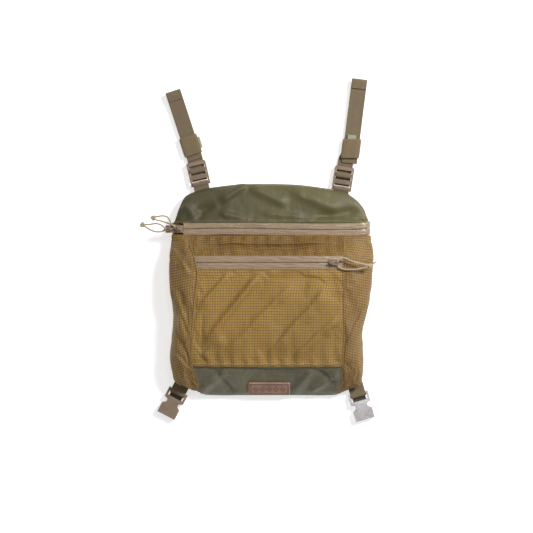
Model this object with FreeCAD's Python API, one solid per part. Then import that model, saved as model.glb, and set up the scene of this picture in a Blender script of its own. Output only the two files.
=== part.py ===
"""Binocular harness pack lying on its back: +Z out of the front, +Y towards the shoulder straps,
+X to the right of a person facing the front.  The origin is on the back's outer face.
Every soft panel is a thin plain slab, so the two compartments are real hollows."""
import FreeCAD, Part
import math
import os

V = FreeCAD.Vector

# --- bag: widths, heights and depths, mm ---
PANEL_T = 1.5                # thickness of each fabric panel with its lining
BACK_COVER_T = 1.5           # outer back cover
BACK_FOAM_T = 4.5            # pad behind it
BACK_T = 7.0                 # back cover, foam and liner together
FOAM_INSET = 4.0             # foam stops this far inside the back's edge
BACK_HALF_W = 102.0          # back panel, half width
BULGE_HALF_W = 129.0         # widest line of the side gussets
BULGE_Z = 20.0
FRONT_HALF_W = 97.0          # front wall, half width at FRONT_Z
FRONT_Z = 35.0               # outer face of the wall between the two compartments
BOTTOM_Y = -133.5            # lowest edge of the pack
BOTTOM_LIP_Z = 10.0          # bottom panel stands straight up to here
BOTTOM_TOP_Y = -95.0         # bottom panel meets the front wall
CORNER_X = 84.0              # bottom corners are cut from here ...
CORNER_Y = -117.0            # ... up to here
TOP_Y = 138.5                # crown of the lid
LID_BREAK_Y = 112.0          # lid slopes down to its thin crown from here
LID_BREAK_DROP = 1.9         # how far it has come down from the zip by then
CROWN_Z = 9.0                # thickness at the crown
SLOPE_X = 60.0               # front rises as far as this, then would be level
CORNER_RUN = 40.0            # length of the bottom corner's cut across ...
FLANK_RISE = 22.0            # ... and of the second cut, up the side
FLANK_TOP_Y = 60.0           # sides are straight up to here
LEDGE = 1.3                  # front wall ends this far below the pocket's top
BAY_DEPTH = 3.0              # room under the parked sliders, below the widest line
SHOULDER = ((127.6, 76.0), (124.3, 88.0), (116.5, 113.0), (100.0, 126.0))   # rounded top corners

# --- pocket on the front ---
POCKET_BASE = (-98.0, 95.0, -94.0, 46.0)      # x and y limits where it is sewn to the front wall
POCKET_TOP = (-93.0, 91.0, -88.0, 44.2)       # x and y limits of its flat face
POCKET_Z = 44.5
POCKET_ZIP_Y = 36.75
POCKET_TAPE_W = 7.35
POCKET_COIL_X = (-90.0, 88.0)

# --- zips and sliders ---
ZIP_Y = 80.0                 # centre line of the main zip
ZIP_Z = 24.4                 # outer face of the main zip tape
TAPE_W = 7.1                 # visible width of one main tape
CHAIN_GAP = 1.2              # between the two rows of coil
COIL_W = 2.0
COIL_H = 2.0
COIL_END_X = 118.0
SLIDER_L = 9.0
SLIDER_W = 9.0
PLATE_T = 1.2
CLEAR = 0.3                  # running clearance between moving pieces
POST_T = 0.6                 # post between the coils
POST_L = 3.0
PIN_H = 4.3                  # pull pin above the slider's top plate
PIN_R = 0.8
BRIDGE_L = 6.4
BRIDGE_W = 2.0
BRIDGE_T = 1.1
INNER_X = -116.9             # parked sliders
OUTER_X = -128.0
POCKET_SLIDER_X = 78.0
ZIP_END_T = 2.0
TAB_T = 1.4
TAB_W = 5.6
TAB_ARM_W = 1.5
TAB_NECK = 4.1               # fork of the pull tab, from its pin
TAB_L = 8.4
TAB_HOLE = 6.2               # from the pin to the cord hole
TAB_HOLE_R = 1.5
INNER_PULL_DEG = 152.0       # where each parked pull points, from +X
OUTER_PULL_DEG = 180.0
POCKET_PULL_DEG = 0.0

# --- cords ---
CORD_D = 2.0
KNOT_R = 3.8
POCKET_KNOT_R = 3.0
INNER_KNOT = (-150.3, 94.3, 29.2)
OUTER_KNOT = (-164.0, 85.5, 29.2)
POCKET_KNOT = (126.3, 32.9, 49.6)
TAIL_END = (134.6, 38.2, 48.6)
BEAD_R = 2.3
INNER_ROUTE = [(-147.9, 95.2, 30.0), (-140.6, 97.1, 31.0), (-133.4, 96.5, 31.5), (-129.3, 92.4, 31.7),
               (-128.0, 86.9, 31.6), (-122.4, 82.9, 31.5), (-122.3, 82.8, 27.3), (-127.8, 85.9, 27.2),
               (-134.3, 88.4, 27.4), (-140.8, 90.6, 27.7), (-145.3, 91.0, 28.3), (-148.0, 92.6, 28.7)]
OUTER_ROUTE = [(-161.4, 85.9, 30.0), (-154.6, 85.7, 31.0), (-147.5, 87.2, 31.5), (-141.0, 86.0, 31.7),
               (-137.6, 83.4, 31.6), (-134.2, 80.0, 31.5), (-134.1, 79.9, 27.3), (-138.9, 76.8, 27.2),
               (-145.8, 76.2, 27.4), (-153.4, 78.3, 27.7), (-158.8, 82.0, 28.2), (-161.8, 84.0, 28.6)]
POCKET_ROUTE = [(124.0, 33.9, 50.3), (113.0, 35.7, 51.4), (102.4, 39.0, 51.8), (93.8, 43.3, 51.9),
                (87.4, 42.8, 51.8), (84.3, 37.0, 51.6), (84.2, 36.8, 47.4), (86.6, 31.6, 47.3),
                (92.2, 28.4, 47.4), (101.8, 27.8, 47.6), (112.8, 28.8, 48.0), (123.9, 31.4, 49.0)]

# --- webbing and its plastic fittings ---
WEB_W = 20.0
WEB_T = 1.4
BAR_R = 1.7                  # round bars that webbing hinges on
LOCK_W = 25.3                # ladder lock
LOCK_T = 4.0
LOCK_Z = 3.6                 # underside
LOCK_SLOTS = ((5.0, 9.5), (13.5, 17.5), (23.0, 27.6))   # from its free end
LOCK_SLOT_W = 20.8
LOCK_BAR = 29.4              # hinge bar, from its free end
LEFT_LOCK = (-97.0, 36.288, 103.2)     # free end's X, its height above the crown, heading from +X
RIGHT_LOCK = (95.8, 30.156, 80.9)
LEFT_STRAP = ((-6.4, 20.7), (-29.2, 90.6))     # keeper, then strap end, from the lock's free end
RIGHT_STRAP = ((7.8, 23.0), (19.0, 112.5))
STRAP_START = 19.0           # strap starts this far below its keeper's middle
HEM_L = 12.5
BEND_BELOW_KEEPER = 3.0
UNDERLAY_PAST_KEEPER = 52.0  # threaded layer carries on behind the strap
KEEPER_L = 25.0
KEEPER_T = 1.6
STRIP_T = 1.6                # loose strip at the keeper: thickness
KEEPER_SIDE = WEB_W / 2 + CLEAR + KEEPER_T
LEFT_STRIP = ((-7.0, 8.0), (-KEEPER_SIDE - 5.0, -KEEPER_SIDE))  # from the keeper's middle: along, across
RIGHT_STRIP = ((6.0, 17.6), (-4.7, 6.3))
ANCHOR_SINK = 2.5            # anchor webbing runs this far into the back panel's top edge
BUCKLE_L = 35.6              # side-release socket
BUCKLE_T = 8.0
BUCKLE_Z = 0.6
BUCKLE_BAR_S = 2.6           # hinge bar, from the end nearest the pack
BUCKLE_SLOT = (4.6, 10.4)
BUCKLE_LOOP_W = 26.4
BUCKLE_LOOP_END = 13.5
BUCKLE_WAIST_W = 16.0
BUCKLE_WAIST = (15.5, 19.5)
BUCKLE_MOUTH_W = 25.0
BUCKLE_MOUTH_START = 22.5
SOCKET_W = 19.0
SOCKET_H = 4.8
SOCKET_DEPTH = 15.5
LEFT_BUCKLE = (-119.9, -130.8, 242.5)     # hinge bar's middle and heading
RIGHT_BUCKLE = (112.9, -133.6, 286.5)
TAB_RUN = 46.0               # sewn length of each buckle tab, cut back at the back panel

# --- leather patch ---
PATCH_W = 54.0
PATCH_H = 21.5
PATCH_T = 1.8
PATCH_X = -2.0
PATCH_LOW = 2.2              # up the slope from the bottom panel's lower edge

BIG = 400.0


def polygon(points):
    """Flat face from a list of corners."""
    return Part.Face(Part.makePolygon([V(*p) for p in points] + [V(*points[0])]))


def box(x0, x1, y0, y1, z0, z1):
    """Box from its limits."""
    return Part.makeBox(x1 - x0, y1 - y0, z1 - z0, V(x0, y0, z0))


def save(node, shape):
    """Write one node's solids."""
    solids = shape.Solids
    assert solids and all(s.isValid() for s in solids), node
    out = solids[0] if len(solids) == 1 else Part.makeCompound(solids)
    out.exportStep("parts/" + node + ".step")


# --- bag body: three crossed prisms, hollowed ---
def side_profile(inset):
    """Outline seen from the side, as a prism across the whole width."""
    pts = [(0, BOTTOM_Y, -1), (0, BOTTOM_Y, BOTTOM_LIP_Z), (0, BOTTOM_TOP_Y, FRONT_Z),
           (0, POCKET_BASE[3] - LEDGE, FRONT_Z), (0, ZIP_Y - TAPE_W - CHAIN_GAP / 2, ZIP_Z),
           (0, ZIP_Y + TAPE_W + CHAIN_GAP / 2, ZIP_Z), (0, LID_BREAK_Y, ZIP_Z - LID_BREAK_DROP),
           (0, TOP_Y, CROWN_Z), (0, TOP_Y, -1)]
    return prism(polygon(pts), inset, V(1, 0, 0))


def cross_section(inset):
    """Outline seen along the pack, as a prism down its whole length."""
    rise = (FRONT_Z - BULGE_Z) / (BULGE_HALF_W - FRONT_HALF_W)
    top_z = FRONT_Z + (FRONT_HALF_W - SLOPE_X) * rise
    half = [(BACK_HALF_W, 0, -1), (BACK_HALF_W, 0, BACK_T), (BULGE_HALF_W, 0, BULGE_Z), (SLOPE_X, 0, top_z)]
    pts = half + [(-x, y, z) for x, y, z in reversed(half)]
    return prism(polygon(pts), inset, V(0, 1, 0))


def plan_outline(inset):
    """Outline seen from the front, as a prism through the depth."""
    wide = BULGE_HALF_W + 1
    right = [V(CORNER_X, BOTTOM_Y, 0), V(CORNER_X + CORNER_RUN, CORNER_Y, 0),
             V(wide, CORNER_Y + FLANK_RISE, 0), V(wide, FLANK_TOP_Y, 0)]
    right += [V(x, y, 0) for x, y in SHOULDER]
    left = [V(-p.x, p.y, 0) for p in reversed(right)]
    crown = Part.Arc(right[-1], V(0, TOP_Y, 0), left[0]).toShape()
    chain = [Part.makePolygon(right), crown, Part.makePolygon(left + [right[0]])]
    edges = [e for piece in chain for e in piece.Edges]
    return prism(Part.Face(Part.Wire(Part.__sortEdges__(edges))), inset, V(0, 0, 1))


def prism(face, inset, along):
    """Face, moved in by inset, drawn out both ways."""
    if inset:
        face = Part.Face(face.makeOffset2D(-inset, 2).Wires[0])
    return face.translated(along * -BIG).extrude(along * (2 * BIG))


def bag_solid(inset):
    """Closed outer shape, or the hollow inside it."""
    solid = side_profile(inset).common(cross_section(inset)).common(plan_outline(inset))
    floor = BACK_T if inset else 0.0
    return solid.common(box(-BIG, BIG, -BIG, BIG, floor, BIG))


def back_layers(outer):
    """Back cover, foam and liner, one slab behind the other."""
    plate = outer.common(box(-BIG, BIG, -BIG, BIG, 0, BACK_T))
    foam_top = BACK_COVER_T + BACK_FOAM_T
    cover = plate.common(box(-BIG, BIG, -BIG, BIG, 0, BACK_COVER_T))
    outline = max(cover.Faces, key=lambda f: f.Area)
    rim = Part.Face(outline.makeOffset2D(-FOAM_INSET, 2).Wires[0])
    foam = rim.translated(V(0, 0, BACK_COVER_T - rim.BoundBox.ZMin)).extrude(V(0, 0, BACK_FOAM_T))
    middle = plate.common(box(-BIG, BIG, -BIG, BIG, BACK_COVER_T, foam_top))
    liner = plate.common(box(-BIG, BIG, -BIG, BIG, foam_top, BACK_T)).fuse(middle.cut(foam))
    return {"back_panel": cover, "back_foam": foam, "back_liner": liner.removeSplitter()}


def slider_bay(floor):
    """Space kept free round the two parked sliders, from a height up."""
    return box(-BIG, INNER_X + SLIDER_L / 2 + CLEAR, ZIP_Y - SLIDER_W / 2 - CLEAR,
               ZIP_Y + TAPE_W + CHAIN_GAP, floor, BIG)


def bag_panels(shell):
    """Cut the hollow shape into its sewn panels."""
    front = shell.common(box(-BIG, BIG, -BIG, BIG, BACK_T, BIG))
    band_top = ZIP_Y - TAPE_W - CHAIN_GAP / 2
    band_low = POCKET_BASE[3] - LEDGE
    low = BOTTOM_TOP_Y
    side = FRONT_HALF_W
    middle = box(-side, side, -BIG, BIG, 0, BIG)
    below_zip = front.common(box(-BIG, BIG, -BIG, band_top, 0, BIG))
    flanks = below_zip.cut(middle)
    left = flanks.common(box(-BIG, 0, -BIG, BIG, 0, BIG))
    right = flanks.common(box(0, BIG, -BIG, BIG, 0, BIG))
    centre = below_zip.common(middle)
    tape = front.common(box(-BIG, BIG, band_top, ZIP_Y - CHAIN_GAP / 2, 0, BIG))
    tape = tape.cut(slider_bay(BULGE_Z - BAY_DEPTH))
    return {"left_gusset": left, "right_gusset": right,
            "bottom_panel": centre.common(box(-BIG, BIG, -BIG, low, 0, BIG)),
            "front_divider": centre.common(box(-BIG, BIG, low, band_low, 0, BIG)),
            "front_upper_band": centre.common(box(-BIG, BIG, band_low, BIG, 0, BIG)),
            "main_zip_lower_tape": tape}


def lid_panels(shell):
    """Lid and the zip tape along its front edge, just clear of the back."""
    top = shell.common(box(-BIG, BIG, -BIG, BIG, BACK_T + CLEAR, BIG))
    edge = ZIP_Y + TAPE_W + CHAIN_GAP / 2
    tape = top.common(box(-BIG, BIG, ZIP_Y + CHAIN_GAP / 2, edge, 0, BIG)).cut(slider_bay(0))
    lid = top.common(box(-BIG, BIG, edge, BIG, 0, BIG)).cut(slider_bay(0))
    return {"lid_panel": lid, "main_zip_upper_tape": tape}


# --- zips ---
def coil_rows(x0, x1, centre_y, under_z):
    """The two rows of coil sewn under the tapes."""
    rows = []
    for side in (-1, 1):
        near = centre_y + side * CHAIN_GAP / 2
        far = near + side * COIL_W
        rows.append(box(x0, x1, min(near, far), max(near, far), under_z - COIL_H, under_z))
    return rows


def zip_end():
    """Short end of the main zip that stands out past the lid and carries the parked sliders."""
    inner_end = INNER_X + SLIDER_L / 2 + CLEAR
    outer_end = OUTER_X - SLIDER_L / 2 - CLEAR
    under = ZIP_Z - PANEL_T
    low = ZIP_Y - SLIDER_W / 2 - CLEAR
    high = ZIP_Y + SLIDER_W / 2 + CLEAR
    strips = [box(outer_end, inner_end, low, ZIP_Y - CHAIN_GAP / 2, under, ZIP_Z),
              box(outer_end, inner_end, ZIP_Y + CHAIN_GAP / 2, high, under, ZIP_Z)]
    stop = box(outer_end - ZIP_END_T, outer_end, low, high, under - COIL_H, ZIP_Z)
    shape = stop
    for piece in strips + coil_rows(outer_end, inner_end, ZIP_Y, under):
        shape = shape.fuse(piece)
    return shape.removeSplitter()


def slider(x, y, tape_z, pull_deg):
    """Slider body: two plates, the post between the coils and the bridge that holds the pull."""
    top = tape_z + CLEAR
    under = tape_z - PANEL_T - COIL_H - CLEAR
    half = SLIDER_L / 2
    pin_z = top + PLATE_T + PIN_H - PIN_R
    roof = pin_z + PIN_R + CLEAR
    shape = box(x - half, x + half, y - SLIDER_W / 2, y + SLIDER_W / 2, top, top + PLATE_T)
    shape = shape.fuse(box(x - half, x + half, y - SLIDER_W / 2, y + SLIDER_W / 2, under - PLATE_T, under))
    shape = shape.fuse(box(x - POST_L / 2, x + POST_L / 2, y - POST_T / 2, y + POST_T / 2, under, top))
    long, wide = BRIDGE_L / 2, BRIDGE_W / 2
    bridge = box(-long, long, -wide, wide, top + PLATE_T, roof + BRIDGE_T)
    bridge = bridge.cut(box(-long + BRIDGE_T, long - BRIDGE_T, -BIG, BIG, top + PLATE_T, roof))
    return shape.fuse(placed(bridge, x, y, 0, pull_deg)).removeSplitter(), pin_z


def pull_tab(x, y, z, heading):
    """Forked pull tab: a pin through the bridge, two arms and a plate with the cord's hole."""
    half = TAB_W / 2
    tab = box(TAB_NECK, TAB_L, -half, half, -TAB_T / 2, TAB_T / 2)
    for side in (-1, 1):
        edge = side * half
        inner = side * (half - TAB_ARM_W)
        tab = tab.fuse(box(0, TAB_NECK, min(edge, inner), max(edge, inner), -TAB_T / 2, TAB_T / 2))
    tab = tab.fuse(Part.makeCylinder(PIN_R, TAB_W, V(0, -half, 0), V(0, 1, 0)))
    tab = tab.cut(Part.makeCylinder(TAB_HOLE_R, 2 * TAB_T, V(TAB_HOLE, 0, -TAB_T), V(0, 0, 1)))
    return placed(tab.removeSplitter(), x, y, z, heading)


def placed(shape, x, y, z, heading):
    """Copy of a shape turned about Z and moved."""
    out = shape.copy()
    out.Placement = FreeCAD.Placement(V(x, y, z), FreeCAD.Rotation(V(0, 0, 1), heading))
    return out


# --- cords ---
def cord(name, route):
    """Round cord along straight runs joined by the largest arcs that fit, with its figures printed."""
    pts = [V(*p) for p in route]
    edges = []
    radii = []
    at = pts[0]
    for before, corner, after in zip(pts, pts[1:], pts[2:]):
        into = (corner - before).normalize()
        out = (after - corner).normalize()
        turn = into.getAngle(out)
        shorter = min((corner - before).Length, (after - corner).Length)
        reach = 0.45 * shorter
        radii.append(reach / math.tan(turn / 2))
        start = corner - into * reach
        end = corner + out * reach
        middle = corner + (out - into).normalize() * (radii[-1] / math.cos(turn / 2) - radii[-1])
        edges += [Part.LineSegment(at, start).toShape(), Part.Arc(start, middle, end).toShape()]
        at = end
    edges.append(Part.LineSegment(at, pts[-1]).toShape())
    path = Part.Wire(edges)
    ring = Part.Wire(Part.makeCircle(CORD_D / 2, pts[0], pts[1] - pts[0]))
    tube = path.makePipeShell([ring], True, True, 2)
    expected = math.pi * CORD_D ** 2 / 4 * path.Length
    print(name, "length %.1f" % path.Length, "volume ratio %.4f" % (tube.Volume / expected),
          "radii", " ".join("%.1f" % r for r in radii))
    return tube


def knot(centre, radius):
    """Overhand knot as one round lump."""
    return Part.makeSphere(radius, V(*centre))


def pocket_knot():
    """Pocket cord's knot with its short tail and melted end."""
    start = V(*POCKET_KNOT)
    end = V(*TAIL_END)
    tail = Part.makeCylinder(CORD_D / 2, (end - start).Length, start, end - start)
    return knot(POCKET_KNOT, POCKET_KNOT_R).fuse(tail).fuse(Part.makeSphere(BEAD_R, end)).removeSplitter()


# --- webbing and plastic fittings, each drawn along +X from its hinge bar or free end ---
def crown_y(x):
    """Y of the lid's crown arc beside a place across the pack."""
    half, low = SHOULDER[-1]
    rise = TOP_Y - low
    radius = (half ** 2 + rise ** 2) / (2 * rise)
    return TOP_Y - radius + math.sqrt(radius ** 2 - x ** 2)


def lock_place(lock):
    """Middle of a lock's free end and its heading, standing clear of the crown beside its inner edge."""
    x, rise, heading = lock
    bar_x = x - LOCK_BAR * math.cos(math.radians(heading))
    return x, crown_y(abs(bar_x) - LOCK_W / 2) + rise, heading


def strap_line(lock, strap):
    """Keeper and far end of a strap, from its lock's free end."""
    x, y, _ = lock
    return [V(x + dx, y + dy, 0) for dx, dy in strap]


def webbing_loop(run):
    """Webbing folded round a bar at the origin, its two layers running off together."""
    inner = BAR_R + CLEAR
    ring = Part.makeCylinder(inner + WEB_T, WEB_W, V(0, -WEB_W / 2, 0), V(0, 1, 0))
    ring = ring.fuse(box(-run, -inner, -WEB_W / 2, WEB_W / 2, -WEB_T, WEB_T))
    return ring.cut(Part.makeCylinder(inner, 2 * WEB_W, V(0, -WEB_W, 0), V(0, 1, 0))).removeSplitter()


def ladder_lock():
    """Slotted adjuster: free end at the origin, hinge bar towards -X."""
    plate = box(-LOCK_BAR, 0, -LOCK_W / 2, LOCK_W / 2, 0, LOCK_T)
    eye = Part.makeCylinder(LOCK_T / 2, LOCK_W, V(-LOCK_BAR, -LOCK_W / 2, LOCK_T / 2), V(0, 1, 0))
    plate = plate.fuse(eye)
    for near, far in LOCK_SLOTS:
        plate = plate.cut(box(-far, -near, -LOCK_SLOT_W / 2, LOCK_SLOT_W / 2, -1, LOCK_T + 1))
    heel = LOCK_BAR + LOCK_T
    plate = plate.cut(box(-heel, -LOCK_SLOTS[-1][0] - 1, -LOCK_SLOT_W / 2, LOCK_SLOT_W / 2, -1, LOCK_T + 1))
    bar_w = LOCK_SLOT_W + 1
    bar = Part.makeCylinder(BAR_R, bar_w, V(-LOCK_BAR, -bar_w / 2, LOCK_T / 2), V(0, 1, 0))
    free_corners = [e for e in plate.Edges if abs(e.Length - LOCK_T) < 1e-6 and e.CenterOfMass.x > -0.01]
    return plate.makeFillet(LOCK_T * 0.7, free_corners).fuse(bar).removeSplitter()


def threaded_webbing(lock, strap):
    """Strap layer that goes round the lock's middle bar and on behind the strap."""
    x, y, heading = lock
    near, far = LOCK_SLOTS[0][1], LOCK_SLOTS[1][0]
    low = -CLEAR - WEB_T
    skin = CLEAR + WEB_T
    wrap = box(-far - skin, -near + skin, -WEB_W / 2, WEB_W / 2, low, LOCK_T + skin)
    wrap = wrap.cut(box(-far - CLEAR, -near + CLEAR, -WEB_W, WEB_W, -CLEAR, LOCK_T + CLEAR))
    wrap = placed(wrap, x, y, LOCK_Z, heading)
    tongue = placed(box(-near, 1.0, -WEB_W / 2, WEB_W / 2, low, -CLEAR), x, y, LOCK_Z, heading)
    keeper, end = strap_line(lock, strap)
    along = (end - keeper).normalize()
    bend = keeper - along * (KEEPER_L / 2 + BEND_BELOW_KEEPER)
    stop = keeper + along * UNDERLAY_PAST_KEEPER
    ribbon = flat_ribbon([V(x, y, 0), bend, stop], WEB_W, LOCK_Z + low, LOCK_Z - CLEAR)
    return wrap.fuse(tongue).fuse(ribbon).removeSplitter()


def flat_ribbon(points, width, z0, z1):
    """Flat webbing laid along a line of points, mitred where it bends."""
    left, right = [], []
    for i, p in enumerate(points):
        before = (p - points[i - 1]).normalize() if i else None
        after = (points[i + 1] - p).normalize() if i + 1 < len(points) else None
        first, second = before or after, after or before
        across = V(-(first + second).y, (first + second).x, 0).normalize()
        reach = width / 2 / math.cos(first.getAngle(second) / 2)
        left.append(p + across * reach)
        right.append(p - across * reach)
    ring = left + right[::-1]
    return polygon([(p.x, p.y, z0) for p in ring]).extrude(V(0, 0, z1 - z0))


def strap_frame(lock, strap):
    """Keeper point, heading and length of a strap."""
    keeper, end = strap_line(lock, strap)
    run = end - keeper
    return keeper, math.degrees(math.atan2(run.y, run.x)), run.Length


def strap_piece(lock, strap):
    """Upper strap layer with its folded and stitched end."""
    keeper, heading, length = strap_frame(lock, strap)
    top = LOCK_Z + WEB_T
    layer = box(-STRAP_START, length, -WEB_W / 2, WEB_W / 2, LOCK_Z, top)
    hem = box(length - HEM_L, length, -WEB_W / 2, WEB_W / 2, top, top + WEB_T)
    return placed(layer.fuse(hem).removeSplitter(), keeper.x, keeper.y, 0, heading)


def keeper_sleeve(lock, strap):
    """Flat sleeve round both layers of webbing."""
    keeper, heading, _ = strap_frame(lock, strap)
    low = LOCK_Z - CLEAR - WEB_T - CLEAR
    high = LOCK_Z + WEB_T + CLEAR + STRIP_T
    room = KEEPER_SIDE - KEEPER_T
    half = KEEPER_L / 2
    out = box(-half, half, -KEEPER_SIDE, KEEPER_SIDE, max(low - KEEPER_T, 0.1), high + KEEPER_T)
    out = out.cut(box(-BIG, BIG, -room, room, low, high))
    return placed(out, keeper.x, keeper.y, 0, heading)


def keeper_strip(lock, strap, strip):
    """Small loose strip, sewn to the sleeve's edge or tucked under its roof with its end standing out."""
    keeper, heading, _ = strap_frame(lock, strap)
    along, across = strip
    low = LOCK_Z + WEB_T + CLEAR
    return placed(box(*along, *across, low, low + STRIP_T), keeper.x, keeper.y, 0, heading)


def buckle():
    """Socket half of a side-release buckle: hinge bar at the origin, mouth towards +X."""
    s0 = -BUCKLE_BAR_S
    loop, waist, mouth = BUCKLE_LOOP_W / 2, BUCKLE_WAIST_W / 2, BUCKLE_MOUTH_W / 2
    side = [(s0, loop), (s0 + BUCKLE_LOOP_END, loop),
            (s0 + BUCKLE_WAIST[0], waist), (s0 + BUCKLE_WAIST[1], waist),
            (s0 + BUCKLE_MOUTH_START, mouth), (s0 + BUCKLE_L, mouth)]
    ring = side + [(s, -w) for s, w in reversed(side)]
    body = polygon([(s, w, -BUCKLE_T / 2) for s, w in ring]).extrude(V(0, 0, BUCKLE_T))
    slot_w = LOCK_SLOT_W / 2
    body = body.cut(box(s0 - 1, s0 + BUCKLE_SLOT[1], -slot_w, slot_w, -BUCKLE_T, BUCKLE_T))
    thin = box(s0 - 1, s0 + BUCKLE_SLOT[1] + 1, -loop - 1, loop + 1, LOCK_T / 2, BUCKLE_T)
    body = body.cut(thin).cut(thin.translated(V(0, 0, -BUCKLE_T - LOCK_T / 2)))
    end = s0 + BUCKLE_L
    wide, high = SOCKET_W / 2, SOCKET_H / 2
    body = body.cut(box(end - SOCKET_DEPTH, end + 1, -wide, wide, -high, high))
    bar = Part.makeCylinder(BAR_R, 2 * slot_w + 1, V(0, -slot_w - 0.5, 0), V(0, 1, 0))
    return body.fuse(bar).removeSplitter()


def leather_patch():
    """Small label panel sewn on the sloping bottom panel."""
    slope = math.degrees(math.atan2(FRONT_Z - BOTTOM_LIP_Z, BOTTOM_TOP_Y - BOTTOM_Y))
    patch = Part.makeBox(PATCH_W, PATCH_H, PATCH_T, V(-PATCH_W / 2, PATCH_LOW, 0))
    tilt = FreeCAD.Rotation(V(1, 0, 0), slope)
    patch.Placement = FreeCAD.Placement(V(PATCH_X, BOTTOM_Y, BOTTOM_LIP_Z), tilt)
    return patch


# --- pocket ---
def pocket_block(inset):
    """Flat-topped block standing on the front wall, or the hollow inside it."""
    rings = []
    for (x0, x1, y0, y1), z in ((POCKET_BASE, FRONT_Z), (POCKET_TOP, POCKET_Z - inset)):
        x0, x1, y0, y1 = x0 + inset, x1 - inset, y0 + inset, y1 - inset
        corners = [(x0, y0), (x1, y0), (x1, y1), (x0, y1), (x0, y0)]
        rings.append(Part.makePolygon([V(x, y, z) for x, y in corners]))
    return Part.makeLoft(rings, True, True)


def pocket_pieces():
    """Pocket panel, the two zip tapes above it and the coil under them."""
    shell = pocket_block(0).cut(pocket_block(PANEL_T))
    tape_low = POCKET_ZIP_Y - CHAIN_GAP / 2
    tape_high = POCKET_ZIP_Y + CHAIN_GAP / 2
    panel_top = tape_low - POCKET_TAPE_W
    coil = coil_rows(POCKET_COIL_X[0], POCKET_COIL_X[1], POCKET_ZIP_Y, POCKET_Z - PANEL_T)
    return {"pocket_panel": shell.common(box(-BIG, BIG, -BIG, panel_top, 0, BIG)),
            "pocket_zip_lower_tape": shell.common(box(-BIG, BIG, panel_top, tape_low, 0, BIG)),
            "pocket_zip_upper_tape": shell.common(box(-BIG, BIG, tape_high, BIG, 0, BIG)),
            "pocket_zip_coil": Part.makeCompound(coil)}


def pulls():
    """The three sliders, their pull tabs, cords and knots."""
    out = {}
    places = {"outer": (OUTER_X, ZIP_Y, ZIP_Z, OUTER_PULL_DEG, OUTER_ROUTE, OUTER_KNOT),
              "inner": (INNER_X, ZIP_Y, ZIP_Z, INNER_PULL_DEG, INNER_ROUTE, INNER_KNOT),
              "pocket": (POCKET_SLIDER_X, POCKET_ZIP_Y, POCKET_Z, POCKET_PULL_DEG,
                         POCKET_ROUTE, POCKET_KNOT)}
    for name, (x, y, z, heading, route, centre) in places.items():
        body, pin_z = slider(x, y, z, heading)
        out[name + "_slider"] = body
        out[name + "_pull_tab"] = pull_tab(x, y, pin_z, heading)
        out[name + "_pull_cord"] = cord(name + "_pull_cord", route)
        out[name + "_cord_knot"] = pocket_knot() if name == "pocket" else knot(centre, KNOT_R)
        print(name, "pin at", x, y, round(pin_z, 3))
    return out


def harness_side(name, lock, strap, bag, strip):
    """Anchor webbing, ladder lock, threaded layer, strap and keeper of one shoulder."""
    lock = lock_place(lock)
    x, y, heading = lock
    turn = math.radians(heading)
    bar = V(x - LOCK_BAR * math.cos(turn), y - LOCK_BAR * math.sin(turn), LOCK_Z + LOCK_T / 2)
    run = (bar.y - crown_y(bar.x) + ANCHOR_SINK) / math.sin(turn)
    print(name, "lock bar", [round(c, 3) for c in bar])
    return {name + "_anchor_webbing": placed(webbing_loop(run), bar.x, bar.y, bar.z, heading).cut(bag),
            name + "_ladder_lock": placed(ladder_lock(), x, y, LOCK_Z, heading),
            name + "_threaded_webbing": threaded_webbing(lock, strap),
            name + "_strap": strap_piece(lock, strap),
            name + "_keeper": keeper_sleeve(lock, strap),
            name + "_keeper_strip": keeper_strip(lock, strap, strip)}


def buckle_side(name, at, bag):
    """Buckle and the webbing tab that holds it to the lower corner."""
    x, y, heading = at
    z = BUCKLE_Z + BUCKLE_T / 2
    tab = placed(webbing_loop(TAB_RUN), x, y, z, heading).cut(bag)
    side = [s for s in tab.Solids if s.BoundBox.isInside(V(x, y, z))]
    return {name + "_buckle": placed(buckle(), x, y, z, heading), name + "_buckle_tab": side[0]}


def main():
    """Build every node and write its file."""
    os.makedirs("parts", exist_ok=True)
    outer = bag_solid(0)
    shell = outer.cut(bag_solid(PANEL_T))
    nodes = back_layers(outer)
    nodes.update(bag_panels(shell))
    nodes.update(lid_panels(shell))
    rows = coil_rows(INNER_X + SLIDER_L / 2 + CLEAR, COIL_END_X, ZIP_Y, ZIP_Z - PANEL_T)
    nodes["main_zip_lower_coil"], nodes["main_zip_upper_coil"] = rows
    nodes["main_zip_end"] = zip_end()
    nodes.update(pocket_pieces())
    nodes.update(pulls())
    nodes["leather_patch"] = leather_patch()
    nodes.update(harness_side("left", LEFT_LOCK, LEFT_STRAP, outer, LEFT_STRIP))
    nodes.update(harness_side("right", RIGHT_LOCK, RIGHT_STRAP, outer, RIGHT_STRIP))
    nodes.update(buckle_side("left", LEFT_BUCKLE, outer))
    nodes.update(buckle_side("right", RIGHT_BUCKLE, outer))
    for node, shape in nodes.items():
        save(node, shape)
    print(len(nodes), "nodes")


main()
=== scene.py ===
import math

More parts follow.
